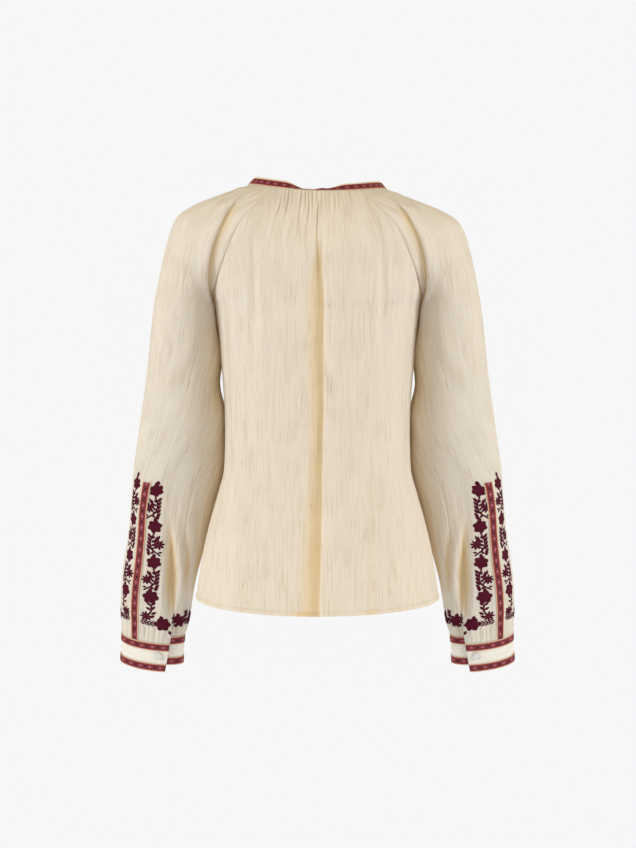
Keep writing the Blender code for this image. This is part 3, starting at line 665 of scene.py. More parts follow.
# %% Values and finishes
class Value:
    """The output of a shader node, which can be used in arithmetic."""

    def __init__(self, finish, socket):
        self.finish = finish
        self.socket = socket

    def math(self, operation, *others):
        """Add a Math node with this value first."""
        sockets = {index: value for index, value in enumerate((self,) + others)}
        return self.finish.node("ShaderNodeMath", {"operation": operation}, sockets)

    def __add__(self, other):
        return self.math("ADD", other)

    __radd__ = __add__

    def __mul__(self, other):
        return self.math("MULTIPLY", other)

    __rmul__ = __mul__

    def __sub__(self, other):
        return self.math("SUBTRACT", other)

    def __rsub__(self, other):
        return self.math("MULTIPLY", -1.0) + other

    def __truediv__(self, other):
        return self.math("DIVIDE", other)

    def __abs__(self):
        return self.math("ABSOLUTE")

    def __pow__(self, other):
        return self.math("POWER", other)

    def sine(self):
        """Sine of this value, in radians."""
        return self.math("SINE")

    def repeat(self, length):
        """This value from -length/2 to length/2, starting over every length."""
        return self.math("WRAP", length / 2, -length / 2)

    def rise(self, low, high):
        """A smooth step from 0 at low to 1 at high."""
        settings = {"interpolation_type": "SMOOTHSTEP"}
        sockets = {"Value": self, "From Min": low, "From Max": high}
        return self.finish.node("ShaderNodeMapRange", settings, sockets)

    def under(self, edge, softness):
        """One where this value is below an edge, fading to zero over a softness."""
        return 1 - self.rise(edge - softness / 2, edge + softness / 2)


class Finish:
    """A material that is being built."""

    def __init__(self, name):
        self.material = bpy.data.materials.new(name)
        self.material.use_nodes = True
        self.tree = self.material.node_tree
        self.tree.nodes.clear()

    def node(self, kind, settings, sockets, output=0):
        """Add a node: its type, its settings first, then its sockets by name or number."""
        made = self.tree.nodes.new(kind)
        for name, setting in settings.items():
            setattr(made, name, setting)
        for name, value in sockets.items():
            if isinstance(value, Value):
                self.tree.links.new(value.socket, made.inputs[name])
            else:
                made.inputs[name].default_value = value
        return Value(self, made.outputs[output])

    def flat_cloth(self):
        """Distances across and along the flat cloth, in millimetres, from the piece's UV map."""
        uv = self.node("ShaderNodeUVMap", {"uv_map": "cloth"}, {})
        across = self.node("ShaderNodeSeparateXYZ", {}, {0: uv}, 0)
        along = self.node("ShaderNodeSeparateXYZ", {}, {0: uv}, 1)
        return across / MM, along / MM

    def place(self, x, y, z=0.0):
        """Three values joined into a vector."""
        return self.node("ShaderNodeCombineXYZ", {}, {0: x, 1: y, 2: z})

    def cloudy(self, vector, detail=2.0):
        """Noise from about 0 to 1 at a vector."""
        return self.node("ShaderNodeTexNoise", {}, {"Vector": vector, "Scale": 1.0, "Detail": detail})

    def mix(self, factor, first, second):
        """Colour that goes from first to second as the factor goes from 0 to 1."""
        sockets = {0: factor, 6: first, 7: second}
        return self.node("ShaderNodeMix", {"data_type": "RGBA"}, sockets, 2)

    def bump(self, height, distance):
        """Normal of a surface raised by a height from 0 to 1 times a distance in metres."""
        sockets = {"Height": height, "Distance": distance, "Strength": 1.0}
        return self.node("ShaderNodeBump", {}, sockets)

    def end(self, surface):
        """Wire the finished surface to the output."""
        output = self.tree.nodes.new("ShaderNodeOutputMaterial")
        self.tree.links.new(surface.socket, output.inputs["Surface"])
        return self.material


def paint(red, green, blue):
    """A colour with its alpha, from linear parts."""
    return (red, green, blue, 1.0)


print("white is", paint(1.0, 1.0, 1.0))

# %% [markdown]
# Crinkled gauze
#
# Gauze is a loose plain weave of soft cream cotton. It is matt, a little fuzzy at grazing angles, and
# light that has gone through it or bounced in its folds turns warm and yellow. The finish paints that
# light and shade into its colour: a painted warm tint in the troughs and a deeper painted tan shade in
# the deepest ones, from each piece's own fold heights, and painted shade along the low fine lines. A
# share of the light goes through. Noise stretched along the grain makes the creases, and sines the weave.

# %% The gauze finish
# The cream is the cloth's own colour. The warm tint, the deep tan and the valley shade below are painted
# light and shade, and the last is the colour of the light let through.
CREAM = paint(0.84, 0.83, 0.795)
PAINTED_WARM_BOUNCE = paint(0.86, 0.715, 0.44)
PAINTED_DEEP_SHADE = paint(0.62, 0.48, 0.28)
PAINTED_VALLEY_SHADE = paint(0.52, 0.44, 0.32)
LET_THROUGH = paint(0.95, 0.73, 0.38)
WEAVE = 0.9
CREASE_DEPTH = 0.0009


def gauze_finish(name, fine, through):
    """Cream cotton: fine scales its creases, and through is the share of light that it lets through.

    Distances are millimetres of flat cloth. The third number of a place keeps its noise apart.
    """
    f = Finish(name)
    across, along = f.flat_cloth()

    # Fine lines run along the grain in two widths, and a slow drift bends them.
    drifted = across + f.cloudy(f.place(across / 40.0, along / 150.0), 1.0) * 5.0
    lines = f.cloudy(f.place(drifted / 2.6, along / 120.0), 1.0)
    small = f.cloudy(f.place(drifted / 1.5, along / 45.0, 4.0), 1.0)

    # A crease runs where slow noise crosses its middle value, in patches of the cloth.
    deep = f.cloudy(f.place(drifted / 7.0, along / 110.0, 7.0), 1.0)
    patches = f.cloudy(f.place(across / 30.0, along / 50.0, 2.0)).rise(0.5, 0.62)
    short = f.cloudy(f.place(drifted / 3.6, along / 55.0, 11.0), 1.0)
    broken = f.cloudy(f.place(across / 16.0, along / 40.0, 13.0)).rise(0.42, 0.56)
    crease = (1 - abs(deep - 0.5).rise(0.0, 0.03)) * patches
    crease = crease + (1 - abs(short - 0.5).rise(0.0, 0.035)) * broken * 0.8

    # The weave is so fine that it only breaks up the light.
    thread = (across * (math.tau / WEAVE)).sine() * (along * (math.tau / WEAVE)).sine()
    height = small * 0.45 + lines * 0.75 - crease * 0.2 + thread * 0.04

    # Painted light and shade: troughs some millimetres deep get a painted warm tint of bounced light and
    # then a painted tan shade. The fine lines are painted darker where they are low. Slow patches add a
    # little random warm tone.
    depth = 0 - f.node("ShaderNodeAttribute", {"attribute_name": "fold"}, {}, 2)
    patchy = f.cloudy(f.place(across / 55.0, along / 90.0, 9.0), 2.0)
    warm = depth.rise(0.3, 6.0) * 0.8 + crease * 0.2 + (patchy - 0.5) * 0.2
    painted_deep_share = depth.rise(3.5, 8.0) * 0.5
    # Painted shade: the low fine lines and the creases are painted darker.
    painted_valley_share = (0.52 - lines) * 1.1 + (0.5 - small) * 1.3 + crease * 0.30
    colour = f.mix(painted_deep_share, f.mix(warm.rise(0.0, 1.0), CREAM, PAINTED_WARM_BOUNCE), PAINTED_DEEP_SHADE)
    shader = f.node(
        "ShaderNodeBsdfPrincipled",
        {},
        {
            "Base Color": f.mix(painted_valley_share.rise(-0.1, 1.2), colour, PAINTED_VALLEY_SHADE),
            "Roughness": 0.92,
            "Specular IOR Level": 0.2,
            "Sheen Weight": 0.12,
            "Sheen Roughness": 0.5,
            "Normal": f.bump(height, CREASE_DEPTH * fine),
        },
    )
    glow = f.node("ShaderNodeBsdfTranslucent", {}, {"Color": LET_THROUGH})
    return f.end(f.node("ShaderNodeMixShader", {}, {0: through, 1: shader, 2: glow}))


gauze = gauze_finish("crinkled_gauze", 1.0, 0.30)
band_gauze = gauze_finish("doubled_gauze_finish", 0.6, 0.1)
print("made", gauze.name, "and", band_gauze.name)

# %% [markdown]
# Back, front and sleeves
#
# The pieces share their seam lines, and their folds fade out just before the seams, where the cloth is
# held flat by the stitches and a narrow groove runs. Simulated cloth would choose its own folds. These
# stay where the tables put them, and both sleeves come from one set of points.

# %% Cut sizes and the finished panels
PANEL_HALF_CUT = 280.0
SEAM_COLUMNS = 5
HEM_TURN = 7.0
HEM_STEP = 0.5
# The turned hem's fold heights are lowered by this much, for a painted warm tint on its doubled cloth.
HEM_PAINTED_WARMTH = 1.8
HEM_DIP = 0.5
SEAM_GROOVE = 0.8
FULLNESS = 1.3
NECK_CROWDING = 0.30
CROWDING_REACH = 100.0
FLATTER_SIDES = 0.55
FLATTER_FROM = 0.12
FLATTER_TO = 0.34


def flat_grain(base, place, below):
    """Millimetres across the flat cloth, from the middle of a piece.

    The grain hangs straight, so this is the distance round the form from its middle, times how full
    the cloth is cut. Under the neck seam the gathers crowd it together.
    """
    steps = np.linalg.norm(np.diff(base, axis=1), axis=-1)
    run = np.concatenate([0 * steps[:, :1], np.cumsum(steps, axis=1)], axis=1)
    middle = int(np.argmin(np.abs(place)))
    crowding = 1 + NECK_CROWDING * (1 - smooth(0, CROWDING_REACH, below))
    return (run - run[:, middle : middle + 1]) * FULLNESS * crowding


def seam_groove(columns):
    """A narrow dip beside both side seams."""
    index = np.arange(columns + 1)
    return -SEAM_GROOVE * hump(np.minimum(index, columns - index), 0.0, 1.2)


def hem_step(below, length):
    """The turned hem stands a little proud of the cloth, with a dip along its stitches."""
    up = length - below
    step = HEM_STEP * (1 - smooth(HEM_TURN - 0.8, HEM_TURN + 0.4, up))
    return step - HEM_DIP * hump(up, HEM_TURN + 0.8, 1.0)


def finish_panel(side, base, place, folds, gathers, laps, seed):
    """Outer and inner points of a panel, its map of flat cloth, and its fold heights, painted warm on the
    hem.

    The surface is the base, moved out by the big heights of folds, laps and gathers and by the small
    ones of crinkle, hem and seams. The gathers are lower beside the middle of the panel.
    """
    columns = len(place) - 1
    out = normals(base) * side
    across_way = unit(np.gradient(base, axis=1))
    below = down_rows(base)
    length = below[-1, 0]
    grain = flat_grain(base, place, below)
    hang = grain / PANEL_HALF_CUT
    big = fold_height(folds, hang, below)
    slide = 0 * big
    for lap in laps:
        height, sideways = lap_shift(lap, place, below)
        big = big + height
        slide = slide + sideways
    drawn = 1 - FLATTER_SIDES * smooth(FLATTER_FROM, FLATTER_TO, np.abs(hang))
    big = (big + drawn * gather_height(gathers, hang, below)) * edge_fade(columns, SEAM_COLUMNS * 2)
    small = crinkle(grain, below, seed) * edge_fade(columns, SEAM_COLUMNS)
    small = small * smooth(-4, 10, below) + hem_step(below, length) + seam_groove(columns)
    outer = base + out * (big + small)[..., None] + across_way * slide[..., None]
    uv = stack(grain * MM, below * MM)
    # The turned hem gets a painted warm tint through its fold heights.
    turned = 1 - smooth(HEM_TURN - 1.0, HEM_TURN + 1.0, length - below)
    return outer, outer - out * GAUZE_THICKNESS, uv, big - HEM_PAINTED_WARMTH * turned


back = finish_panel(1, back_base, back_places, BACK_FOLDS, BACK_GATHERS, [CENTRE_LAP], 51)
front = finish_panel(-1, front_base, front_places, FRONT_FOLDS, FRONT_GATHERS, [], 61)
back_piece = make_wall("back_cloth", *back[:3], gauze, fold=back[3])
front_piece = make_wall("front_cloth", *front[:3], gauze, flip=True, fold=front[3])
for piece, node in ((back_piece, "back_panel"), (front_piece, "front_panel")):
    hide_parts(node)

# %% The creases of the sleeves
# Each crease lies at a place round the arm and a drop below the neck seam. On its side towards lower
# places it is narrower, by its steep value.
STEEP_SIDE = -1
Crease = namedtuple("Crease", "around drop run height width slope steep")
SLEEVE_CREASES = [
    Crease(-0.88, 300.0, 34.0, -2.6, 0.10, 0.10, 1.0),
    Crease(-0.80, 345.0, 40.0, 2.2, 0.12, 0.12, 1.0),
    Crease(-0.72, 250.0, 40.0, -2.2, 0.16, 0.0, 1.0),
    Crease(-0.60, 215.0, 46.0, 1.2, 0.07, 0.30, 1.0),
    Crease(-0.52, 285.0, 50.0, -1.2, 0.06, 0.30, 1.0),
    Crease(-0.86, 440.0, 50.0, -2.0, 0.08, -0.10, 1.0),
    Crease(-0.90, 508.0, 30.0, -3.6, 0.035, -0.10, 0.5),
    Crease(-0.96, 558.0, 40.0, -7.0, 0.080, -0.10, 0.35),
    Crease(-0.86, 552.0, 44.0, 2.6, 0.030, -0.08, 1.0),
    Crease(0.99, 540.0, 46.0, 2.4, 0.028, -0.14, 1.0),
    Crease(0.93, 530.0, 44.0, -2.2, 0.030, -0.16, 0.6),
    Crease(0.86, 545.0, 46.0, 2.2, 0.040, -0.12, 1.0),
    Crease(0.79, 322.0, 36.0, -3.0, 0.18, 0.0, 1.0),
    Crease(0.65, 376.0, 30.0, 2.6, 0.16, 0.0, 1.0),
]


def crease_height(creases, place, drop):
    """Short folds: a bell along the sleeve times a bell round it, which a slope moves with the drop."""
    total = 0 * place * drop
    for crease in creases:
        middle = crease.around + crease.slope * (drop - crease.drop) / 100.0
        beside = (place - middle + 1) % 2 - 1
        width = crease.width * np.where(beside * STEEP_SIDE > 0, crease.steep, 1.0)
        total = total + crease.height * hump(drop, crease.drop, crease.run) * hump(beside, 0.0, width)
    return total


print("each sleeve has", len(SLEEVE_CREASES), "creases")

# %% The sleeves
# How far the grain has turned round the arm, in millimetres, at each row of the arm's table.
GRAIN = (0, 6, 13, 20, 13, 5, -3, -1, 6, 12, 18, 24, 27, 31)
GRAIN_TURN = 2.5

# The inside of the arm gets a painted warm tint for light that has bounced off the body, between some
# rows of the table. Creases get their painted warm shade only on the forearm, which is as far as this
# below the neck seam.
INSIDE_PAINTED_BOUNCE = 4.8
INSIDE_SPREAD = 0.34
SHADE_BEGINS = (0.0, 1.5)
SHADE_ENDS = (9.0, 12.0)
FOREARM = (430.0, 480.0)


def finish_sleeve():
    """Outer and inner points of the left sleeve, its map, its fold heights and painted bounce, its
    directions out.
    """
    base = sleeve_form
    out = normals(base)
    across_way = unit(np.gradient(base, axis=1))
    below = down_rows(base)
    above_cuff = below[-1] - below
    columns = len(around) - 1
    top_rows = len(raglan_places)
    rows = spread(ARM, arm_places)
    big = gather_height(SLEEVE_NECK_GATHERS, around, below)
    big = big + gather_height(SLEEVE_CUFF_GATHERS, around, above_cuff)
    lap, slide = lap_shift(SLEEVE_LAP, around, below)
    big = (big + lap) * edge_fade(columns, SEAM_COLUMNS)
    creases = crease_height(SLEEVE_CREASES, around, -base[..., 2])
    creases[:top_rows] *= edge_fade(columns, SEAM_COLUMNS)
    big = big + creases
    shift = np.vstack([np.zeros((top_rows, 1)), read_column(GRAIN, arm_places)])
    grain = flat_grain(base, around, below) + shift * np.tanh(GRAIN_TURN * around)
    small = crinkle(grain, below, 71) * edge_fade(columns, SEAM_COLUMNS)
    small = small * smooth(-4, 10, below) * smooth(-4, 8, above_cuff) + seam_groove(columns)
    seam_out = unit(out[top_rows:, 0] + out[top_rows:, -1])
    out[top_rows:, 0] = seam_out
    out[top_rows:, -1] = seam_out
    outer = base + out * (big + small)[..., None] + across_way * slide[..., None]
    uv = stack(grain * MM, below * MM)

    # The fold heights carry the painted bounce light on the inside of the arm, and the creases' painted
    # shade only on the forearm.
    inside = hump(from_inside(rows, around), 0.0, INSIDE_SPREAD)
    shaded = smooth(*SHADE_BEGINS, arm_places) * (1 - smooth(*SHADE_ENDS, arm_places))
    fold = big - creases * (1 - smooth(*FOREARM, -base[..., 2]))
    fold[top_rows:] -= INSIDE_PAINTED_BOUNCE * inside * shaded[:, None]
    return outer, outer - out * GAUZE_THICKNESS, uv, fold, out


sleeve_outer, sleeve_inner, sleeve_uv, sleeve_fold_and_bounce, sleeve_out = finish_sleeve()
for side, flip in SIDES:
    name = "sleeve_cloth_" + side
    piece = make_side(name, sleeve_outer, sleeve_inner, sleeve_uv, gauze, flip, sleeve_fold_and_bounce)
    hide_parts("sleeve_" + side)

# %% [markdown]
# Woven ribbon
#
# The ribbon is a narrow jacquard: a rose middle with dark lozenges and pale flowers in turn, a brick red
# border with a wine and a salmon line, and cream dots along both edges. It could be an image, but the
# pattern is small and regular, so distances along and across the ribbon and a few soft steps draw it.

# %% The ribbon finish
WINE = paint(0.10, 0.008, 0.014)
BRICK = paint(0.27, 0.030, 0.030)
ROSE = paint(0.145, 0.018, 0.034)
PALE_PINK = paint(0.46, 0.14, 0.17)
BLACKENED = paint(0.022, 0.004, 0.008)
SALMON = paint(0.48, 0.13, 0.10)
PICOT_CREAM = paint(0.72, 0.54, 0.38)
RIBBON_HALF = 5.9
RIBBON_RIB = 0.55
RIB_DEPTH = 0.0002
PICOT_PITCH = 2.4
SLEEVE_REPEAT = 16.3
NECK_REPEAT = 14.0


def ribbon_finish(name, repeat):
    """The ribbon's pattern from its map: across from the middle and along, in millimetres."""
    f = Finish(name)
    across, along = f.flat_cloth()

    # Lozenges lie about the middle of each repeat, and the pale flowers half a repeat farther on.
    side = abs(across)
    here = along.repeat(repeat)
    between = (along + repeat / 2).repeat(repeat)
    lozenge = (abs(here) / 2.4 + side / 1.5).under(1.0, 0.25)
    diamond = (abs(between) / 5.0 + side / 2.4).under(1.0, 0.3)
    petals = ((between * between + side * side) ** 0.5).under(1.3, 0.5)
    leaf = (abs(abs(between) - 2.6) / 1.1 + abs(side - 1.0) / 0.8).under(1.0, 0.3)

    # The colours go over each other from the ground up, and the border's lines and dots come last.
    colour = f.mix(side.under(2.6, 0.3), BRICK, ROSE)
    colour = f.mix(diamond * 0.45, colour, PALE_PINK)
    colour = f.mix(petals * 0.7, colour, PALE_PINK)
    colour = f.mix(leaf * 0.6, colour, WINE)
    colour = f.mix(lozenge, colour, BLACKENED)
    colour = f.mix(abs(side - 3.3).under(0.35, 0.2), colour, WINE)
    colour = f.mix(abs(side - 4.3).under(0.22, 0.2) * 0.7, colour, SALMON)
    dots = abs(along.repeat(PICOT_PITCH)).under(0.75, 0.3) * abs(side - 5.4).under(0.55, 0.3)
    colour = f.mix(dots, colour, PICOT_CREAM)
    rib = (along * (math.tau / RIBBON_RIB)).sine() * 0.5 + 0.5
    height = rib * 0.5 + lozenge * 0.3 + petals * 0.3
    shader = f.node(
        "ShaderNodeBsdfPrincipled",
        {},
        {
            "Base Color": colour,
            "Roughness": 0.75,
            "Specular IOR Level": 0.25,
            "Normal": f.bump(height, RIB_DEPTH),
        },
    )
    return f.end(shader)


ribbon_cloth = ribbon_finish("ribbon_rose", SLEEVE_REPEAT)
neck_cloth = ribbon_finish("ribbon_rose_neck", NECK_REPEAT)
print("ribbon", 2 * RIBBON_HALF, "mm wide")

# %% The sleeve ribbons
RIBBON_THICKNESS = 0.8
RIBBON_REST = 0.3
SLEEVE_RIBBON_EDGES = (-0.67, -0.59)
SLEEVE_RIBBON_TOP = -412.0
RIBBON_COLUMNS = 9


def ribbon_lifts():
    """Heights of a ribbon's face from edge to edge: its full thickness, less 35 % at the edges."""
    side = np.linspace(-1, 1, RIBBON_COLUMNS)
    return RIBBON_REST + RIBBON_THICKNESS * (1 - 0.35 * side**6)


def at_columns(grid, places):
    """Values of a sleeve grid at some places round it, by straight lines between its columns."""
    index = (np.asarray(places) + 1) / 2 * (len(around) - 1)
    low = np.clip(np.floor(index).astype(int), 0, len(around) - 2)
    share = (index - low)[None, :, None]
    return grid[:, low] * (1 - share) + grid[:, low + 1] * share


def sleeve_ribbon():
    """The sleeve's own points under the ribbon, moved out by its rest and its thickness."""
    places = np.linspace(*SLEEVE_RIBBON_EDGES, RIBBON_COLUMNS)
    points = at_columns(sleeve_outer, places)
    outs = unit(at_columns(sleeve_out, places))
    start = int(np.argmax(points[:, 0, 2] < SLEEVE_RIBBON_TOP))
    points, outs = points[start:], outs[start:]
    along = down_rows(points)
    across = np.linspace(-RIBBON_HALF, RIBBON_HALF, RIBBON_COLUMNS)
    uv = stack(across * MM, (along - along[-1]) * MM)
    return points + outs * ribbon_lifts()[None, :, None], points + outs * RIBBON_REST / 2, uv


ribbon_outer, ribbon_inner, ribbon_uv = sleeve_ribbon()
for side, flip in SIDES:
    piece = make_side("sleeve_braid_" + side, ribbon_outer, ribbon_inner, ribbon_uv, ribbon_cloth, flip)
    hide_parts("sleeve_ribbon_" + side)

# %% [markdown]
# Neck band
#
# The band is a strip of doubled gauze that stands up from the gathers and leans towards the neck. At
# the centre back it has rolled inwards, so the ribbon on it is seen nearly edge on there. A curve with a
# bevel could sweep it, but rows of points over the neck seam let its lean change along the way.

# %% The neck band and its ribbon
BAND_HEIGHT = 16.0
BAND_CLOTH = 1.6
BAND_LEAN = 40.0
BAND_STEPS = 360
BAND_ROWS = 9
BAND_ROUND = 0.5
BAND_RIBBON_FOOT = 0.4
BAND_RIBBON_HEAD = 3.6

# How far the band has rolled inwards behind the neck, in degrees, every ROLL_STEP from the wearer's left.
BAND_ROLLS = (0, 4, 20, 36, 38, 37, 28, 30, 22, 9, 4)
ROLL_BEGINS = 54.0
ROLL_STEP = 10.0


def band_points(heights, grow):
    """Points of the band at some heights, moved out by a value for each, and the length round it."""
    angle = np.arange(BAND_STEPS) * 2 * math.pi / BAND_STEPS
    base = neck_point(angle)
    level = unit(stack(np.sin(angle) / NECK_HALF_WIDTH, np.cos(angle) / NECK_HALF_DEPTH, 0.0))
    along_roll = np.clip((ROLL_BEGINS - base[:, 0]) / ROLL_STEP, 0, len(BAND_ROLLS) - 1)
    roll = read_column(BAND_ROLLS, along_roll)[:, 0] * (np.cos(angle) > 0)
    lean = np.radians(BAND_LEAN + roll)[:, None]
    up = np.array([0.0, 0.0, 1.0])
    rise = up * np.cos(lean) - level * np.sin(lean)
    out = level * np.cos(lean) + up * np.sin(lean)
    rows = [base + rise * height + out * more for height, more in zip(heights, grow)]
    return np.array(rows), run_along(np.vstack([base, base[:1]]))


def band_map(length, heights, middle):
    """Map of a ring: height from the middle across, distance round it along."""
    across = (heights - middle)[:, None]
    return stack(across * MM, length[None, :] * MM)


# The top row is drawn in on both faces, which rounds the band's top edge.
rounding = np.concatenate([[BAND_ROUND], np.zeros(BAND_ROWS)])
band_heights = np.concatenate([[BAND_HEIGHT], np.linspace(BAND_HEIGHT - BAND_ROUND, 0.0, BAND_ROWS)])
outer, length = band_points(band_heights, -rounding)
inner, _ = band_points(band_heights, rounding - BAND_CLOTH)
band_uv = band_map(length, band_heights, BAND_HEIGHT / 2)
band = make_wall("neck_band_cloth", outer, inner, band_uv, band_gauze, ring=True, flip=True)
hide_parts("neck_band")

ribbon_top = BAND_HEIGHT - BAND_RIBBON_HEAD
ribbon_heights = np.linspace(ribbon_top, BAND_RIBBON_FOOT, RIBBON_COLUMNS)
outer, length = band_points(ribbon_heights, ribbon_lifts())
inner, _ = band_points(ribbon_heights, np.full(RIBBON_COLUMNS, RIBBON_REST / 2))
neck_uv = band_map(length, np.linspace(RIBBON_HALF, -RIBBON_HALF, RIBBON_COLUMNS), 0.0)
neck_braid = make_wall("neck_braid", outer, inner, neck_uv, neck_cloth, ring=True, flip=True)
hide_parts("neck_ribbon")
print("neck seam", round(float(length[-1])), "mm round")

# %% [markdown]
# Cuffs
#
# A cuff is a straight strip of doubled cloth, folded at its lower edge, whose buttoned end lies over a
# short tail. Ribbon runs along both of its edges. The strip starts from the sleeve's own last ring, so
# that the two meet, and a bevelled box would not bend round the wrist as cloth does.

# %% The cuffs and their ribbons
CUFF_HEIGHT = 45.0
CUFF_CLOTH = 1.4
CUFF_TAIL = 0.16
CUFF_LEAN_OUT = 0.07
CUFF_END_SLANT = 5.0
CUFF_SLANT_ENDS = -0.6
CUFF_RIBBON_WIDTH = 11.5
CUFF_RIBBON_MARGIN = 0.8
CUFF_STEPS = 200
CUFF_ROWS = 15
CUFF_SEAM_GAP = 0.3


def cuff_frame():
    """Places round the cuff, its top edge, its directions out, and its way down."""
    places = np.linspace(-1, 1 + CUFF_TAIL, CUFF_STEPS + 1)
    ring = arm_ring(spread(ARM, [len(ARM) - 1.0]), places)[0]
    level = ring_normals(ring)
    ring = ring + level * overlap_lift(places)[:, None]
    ring[:, 2] += cuff_slip(places)
    lean = math.radians(ARM[-1].lean)
    down = unit(np.array([CUFF_LEAN_OUT, -math.sin(lean), -math.cos(lean)]))
    out = unit(level - down * np.sum(level * down, axis=1, keepdims=True))
    return places, ring, out, down


cuff_places, cuff_ring, cuff_outs, cuff_down = cuff_frame()
cuff_length = run_along(cuff_ring)


def cuff_rows(depths, grow):
    """Rows of the cuff at some depths, moved out by a value for each; the buttoned end slants."""
    slant = CUFF_END_SLANT / CUFF_HEIGHT * (1 - smooth(-1.0, CUFF_SLANT_ENDS, cuff_places))
    along = unit(np.gradient(cuff_ring, axis=0)) * slant[:, None]
    depth = np.asarray(depths)[:, None, None]
    lift = cuff_outs * np.asarray(grow)[:, None, None]
    return cuff_ring + cuff_down * (CUFF_SEAM_GAP + depth) + along * depth + lift


cuff_depths = np.concatenate([[0.0], np.linspace(0.4, CUFF_HEIGHT - 0.5, CUFF_ROWS), [CUFF_HEIGHT]])
rounding = np.concatenate([[0.3], np.zeros(CUFF_ROWS), [0.45]])
cuff_outer = cuff_rows(cuff_depths, -rounding)
cuff_inner = cuff_rows(cuff_depths, rounding - CUFF_CLOTH)
cuff_uv = stack(cuff_depths[:, None] * MM, cuff_length[None, :] * MM)
across = np.linspace(-RIBBON_HALF, RIBBON_HALF, RIBBON_COLUMNS)[:, None]
braid_uv = stack(across * MM, cuff_length[None, :] * MM)
for side, flip in SIDES:
    piece = make_side("cuff_cloth_" + side, cuff_outer, cuff_inner, cuff_uv, band_gauze, flip)
    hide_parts("cuff_" + side)
    for edge, first in (
        ("top", CUFF_RIBBON_MARGIN),
        ("bottom", CUFF_HEIGHT - CUFF_RIBBON_MARGIN - CUFF_RIBBON_WIDTH),
    ):
        depths = np.linspace(first, first + CUFF_RIBBON_WIDTH, RIBBON_COLUMNS)
        outer = cuff_rows(depths, ribbon_lifts())
        inner = cuff_rows(depths, np.full(RIBBON_COLUMNS, RIBBON_REST / 2))
        braid = make_side("cuff_braid_" + edge + "_" + side, outer, inner, braid_uv, ribbon_cloth, flip)
        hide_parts("cuff_ribbon_" + edge + "_" + side)

# %% [markdown]
# Embroidery
#
# The sleeves are worked in satin stitch and stem stitch with one deep burgundy thread: a column of
# flowers and daisies on each side of the ribbon, joined by a winding stem, and a border above the cuff.
# Each leaf, petal or stitch is a small raised pad. A pad is drawn flat, in millimetres on the sleeve, and
# laid on the sleeve's own folded surface. A pattern in the finish alone would have no thickness.

# %% Pads of thread
Pad = namedtuple("Pad", "s h turn length width skew blunt")
PAD_STEPS = 6
PAD_SPANS = 4
PAD_RISE = 0.75
PAD_SINK = 0.25
FULL_WIDTH = 3.0
STRAND = 0.55
STRAND_DEPTH = 0.00012


def pad_faces(count, steps, spans):
    """Corners of the faces of many closed pads: top, underside, and the four rims."""
    top_r, top_c = wall_faces(steps, spans, False)
    half = steps * spans
    quads = [top_r * spans + top_c, top_r[:, ::-1] * spans + top_c[:, ::-1] + half]
    r = np.arange(steps - 1)
    c = np.arange(spans - 1)
    first, last = r * spans, r * spans + spans - 1
    quads.append(np.stack([first, first + half, first + spans + half, first + spans], 1))
    quads.append(np.stack([last, last + spans, last + spans + half, last + half], 1))
    quads.append(np.stack([c + 1, c + 1 + half, c + half, c], 1))
    end = c + (steps - 1) * spans
    quads.append(np.stack([end, end + half, end + 1 + half, end + 1], 1))
    one = np.concatenate(quads)
    return (one[None] + (np.arange(count) * 2 * half)[:, None, None]).reshape(-1, 4)


def make_pads(name, top, bottom, along, finish, flip=False):
    """One mesh of many closed pads; top and bottom are pads x steps x spans x 3 points."""
    count, steps, spans = top.shape[:3]
    points = tilted(np.stack([top, bottom], axis=1).reshape(-1, 3))
    faces = pad_faces(count, steps, spans)
    if flip:
        faces = faces[:, ::-1]
    uv = np.stack([stack(along[..., None], np.linspace(0, 1, spans))] * 2, axis=1)
    mesh = bpy.data.meshes.new(name)
    mesh.from_pydata((points * MM).tolist(), [], faces.tolist())
    layer = mesh.uv_layers.new(name="cloth")
    layer.data.foreach_set("uv", (uv.reshape(-1, 2)[faces.ravel()] * MM).astype(np.float32).ravel())
    mesh.shade_smooth()
    return add_piece(name, mesh, finish)


def thread_finish(name, colour, light):
    """Cotton thread with a soft painted sheen: fine lighter stripes across each pad."""
    f = Finish(name)
    along = f.flat_cloth()[0]
    strand_ridge_and_sheen = (along * (math.tau / STRAND)).sine() * 0.5 + 0.5
    # The stripes raise a fine bump, and their lighter colour is a painted sheen.
    shader = f.node(
        "ShaderNodeBsdfPrincipled",
        {},
        {
            "Base Color": f.mix(strand_ridge_and_sheen * 0.5, colour, light),
            "Roughness": 0.7,
            "Specular IOR Level": 0.08,
            "Normal": f.bump(strand_ridge_and_sheen, STRAND_DEPTH),
        },
    )
    return f.end(shader)


# The second colour of each thread is the painted sheen of its stripes.
burgundy_thread = thread_finish("burgundy_thread", paint(0.062, 0.004, 0.015), paint(0.115, 0.008, 0.030))
cream_thread = thread_finish("cream_thread", paint(0.74, 0.64, 0.48), paint(0.82, 0.74, 0.60))
picot_thread = thread_finish("picot_thread", PICOT_CREAM, paint(0.84, 0.70, 0.54))
print("a pad of thread has", len(pad_faces(1, PAD_STEPS, PAD_SPANS)), "faces")

# %% Places on the sleeve
RIBBON_MIDDLE = sum(SLEEVE_RIBBON_EDGES) / 2
ribbon_column = int(round((RIBBON_MIDDLE + 1) / 2 * (len(around) - 1)))
above_cuff_rows = run_along(sleeve_form[::-1, ribbon_column])[::-1]
half_round = np.linalg.norm(np.diff(sleeve_form, axis=1), axis=2).sum(axis=1) / 2


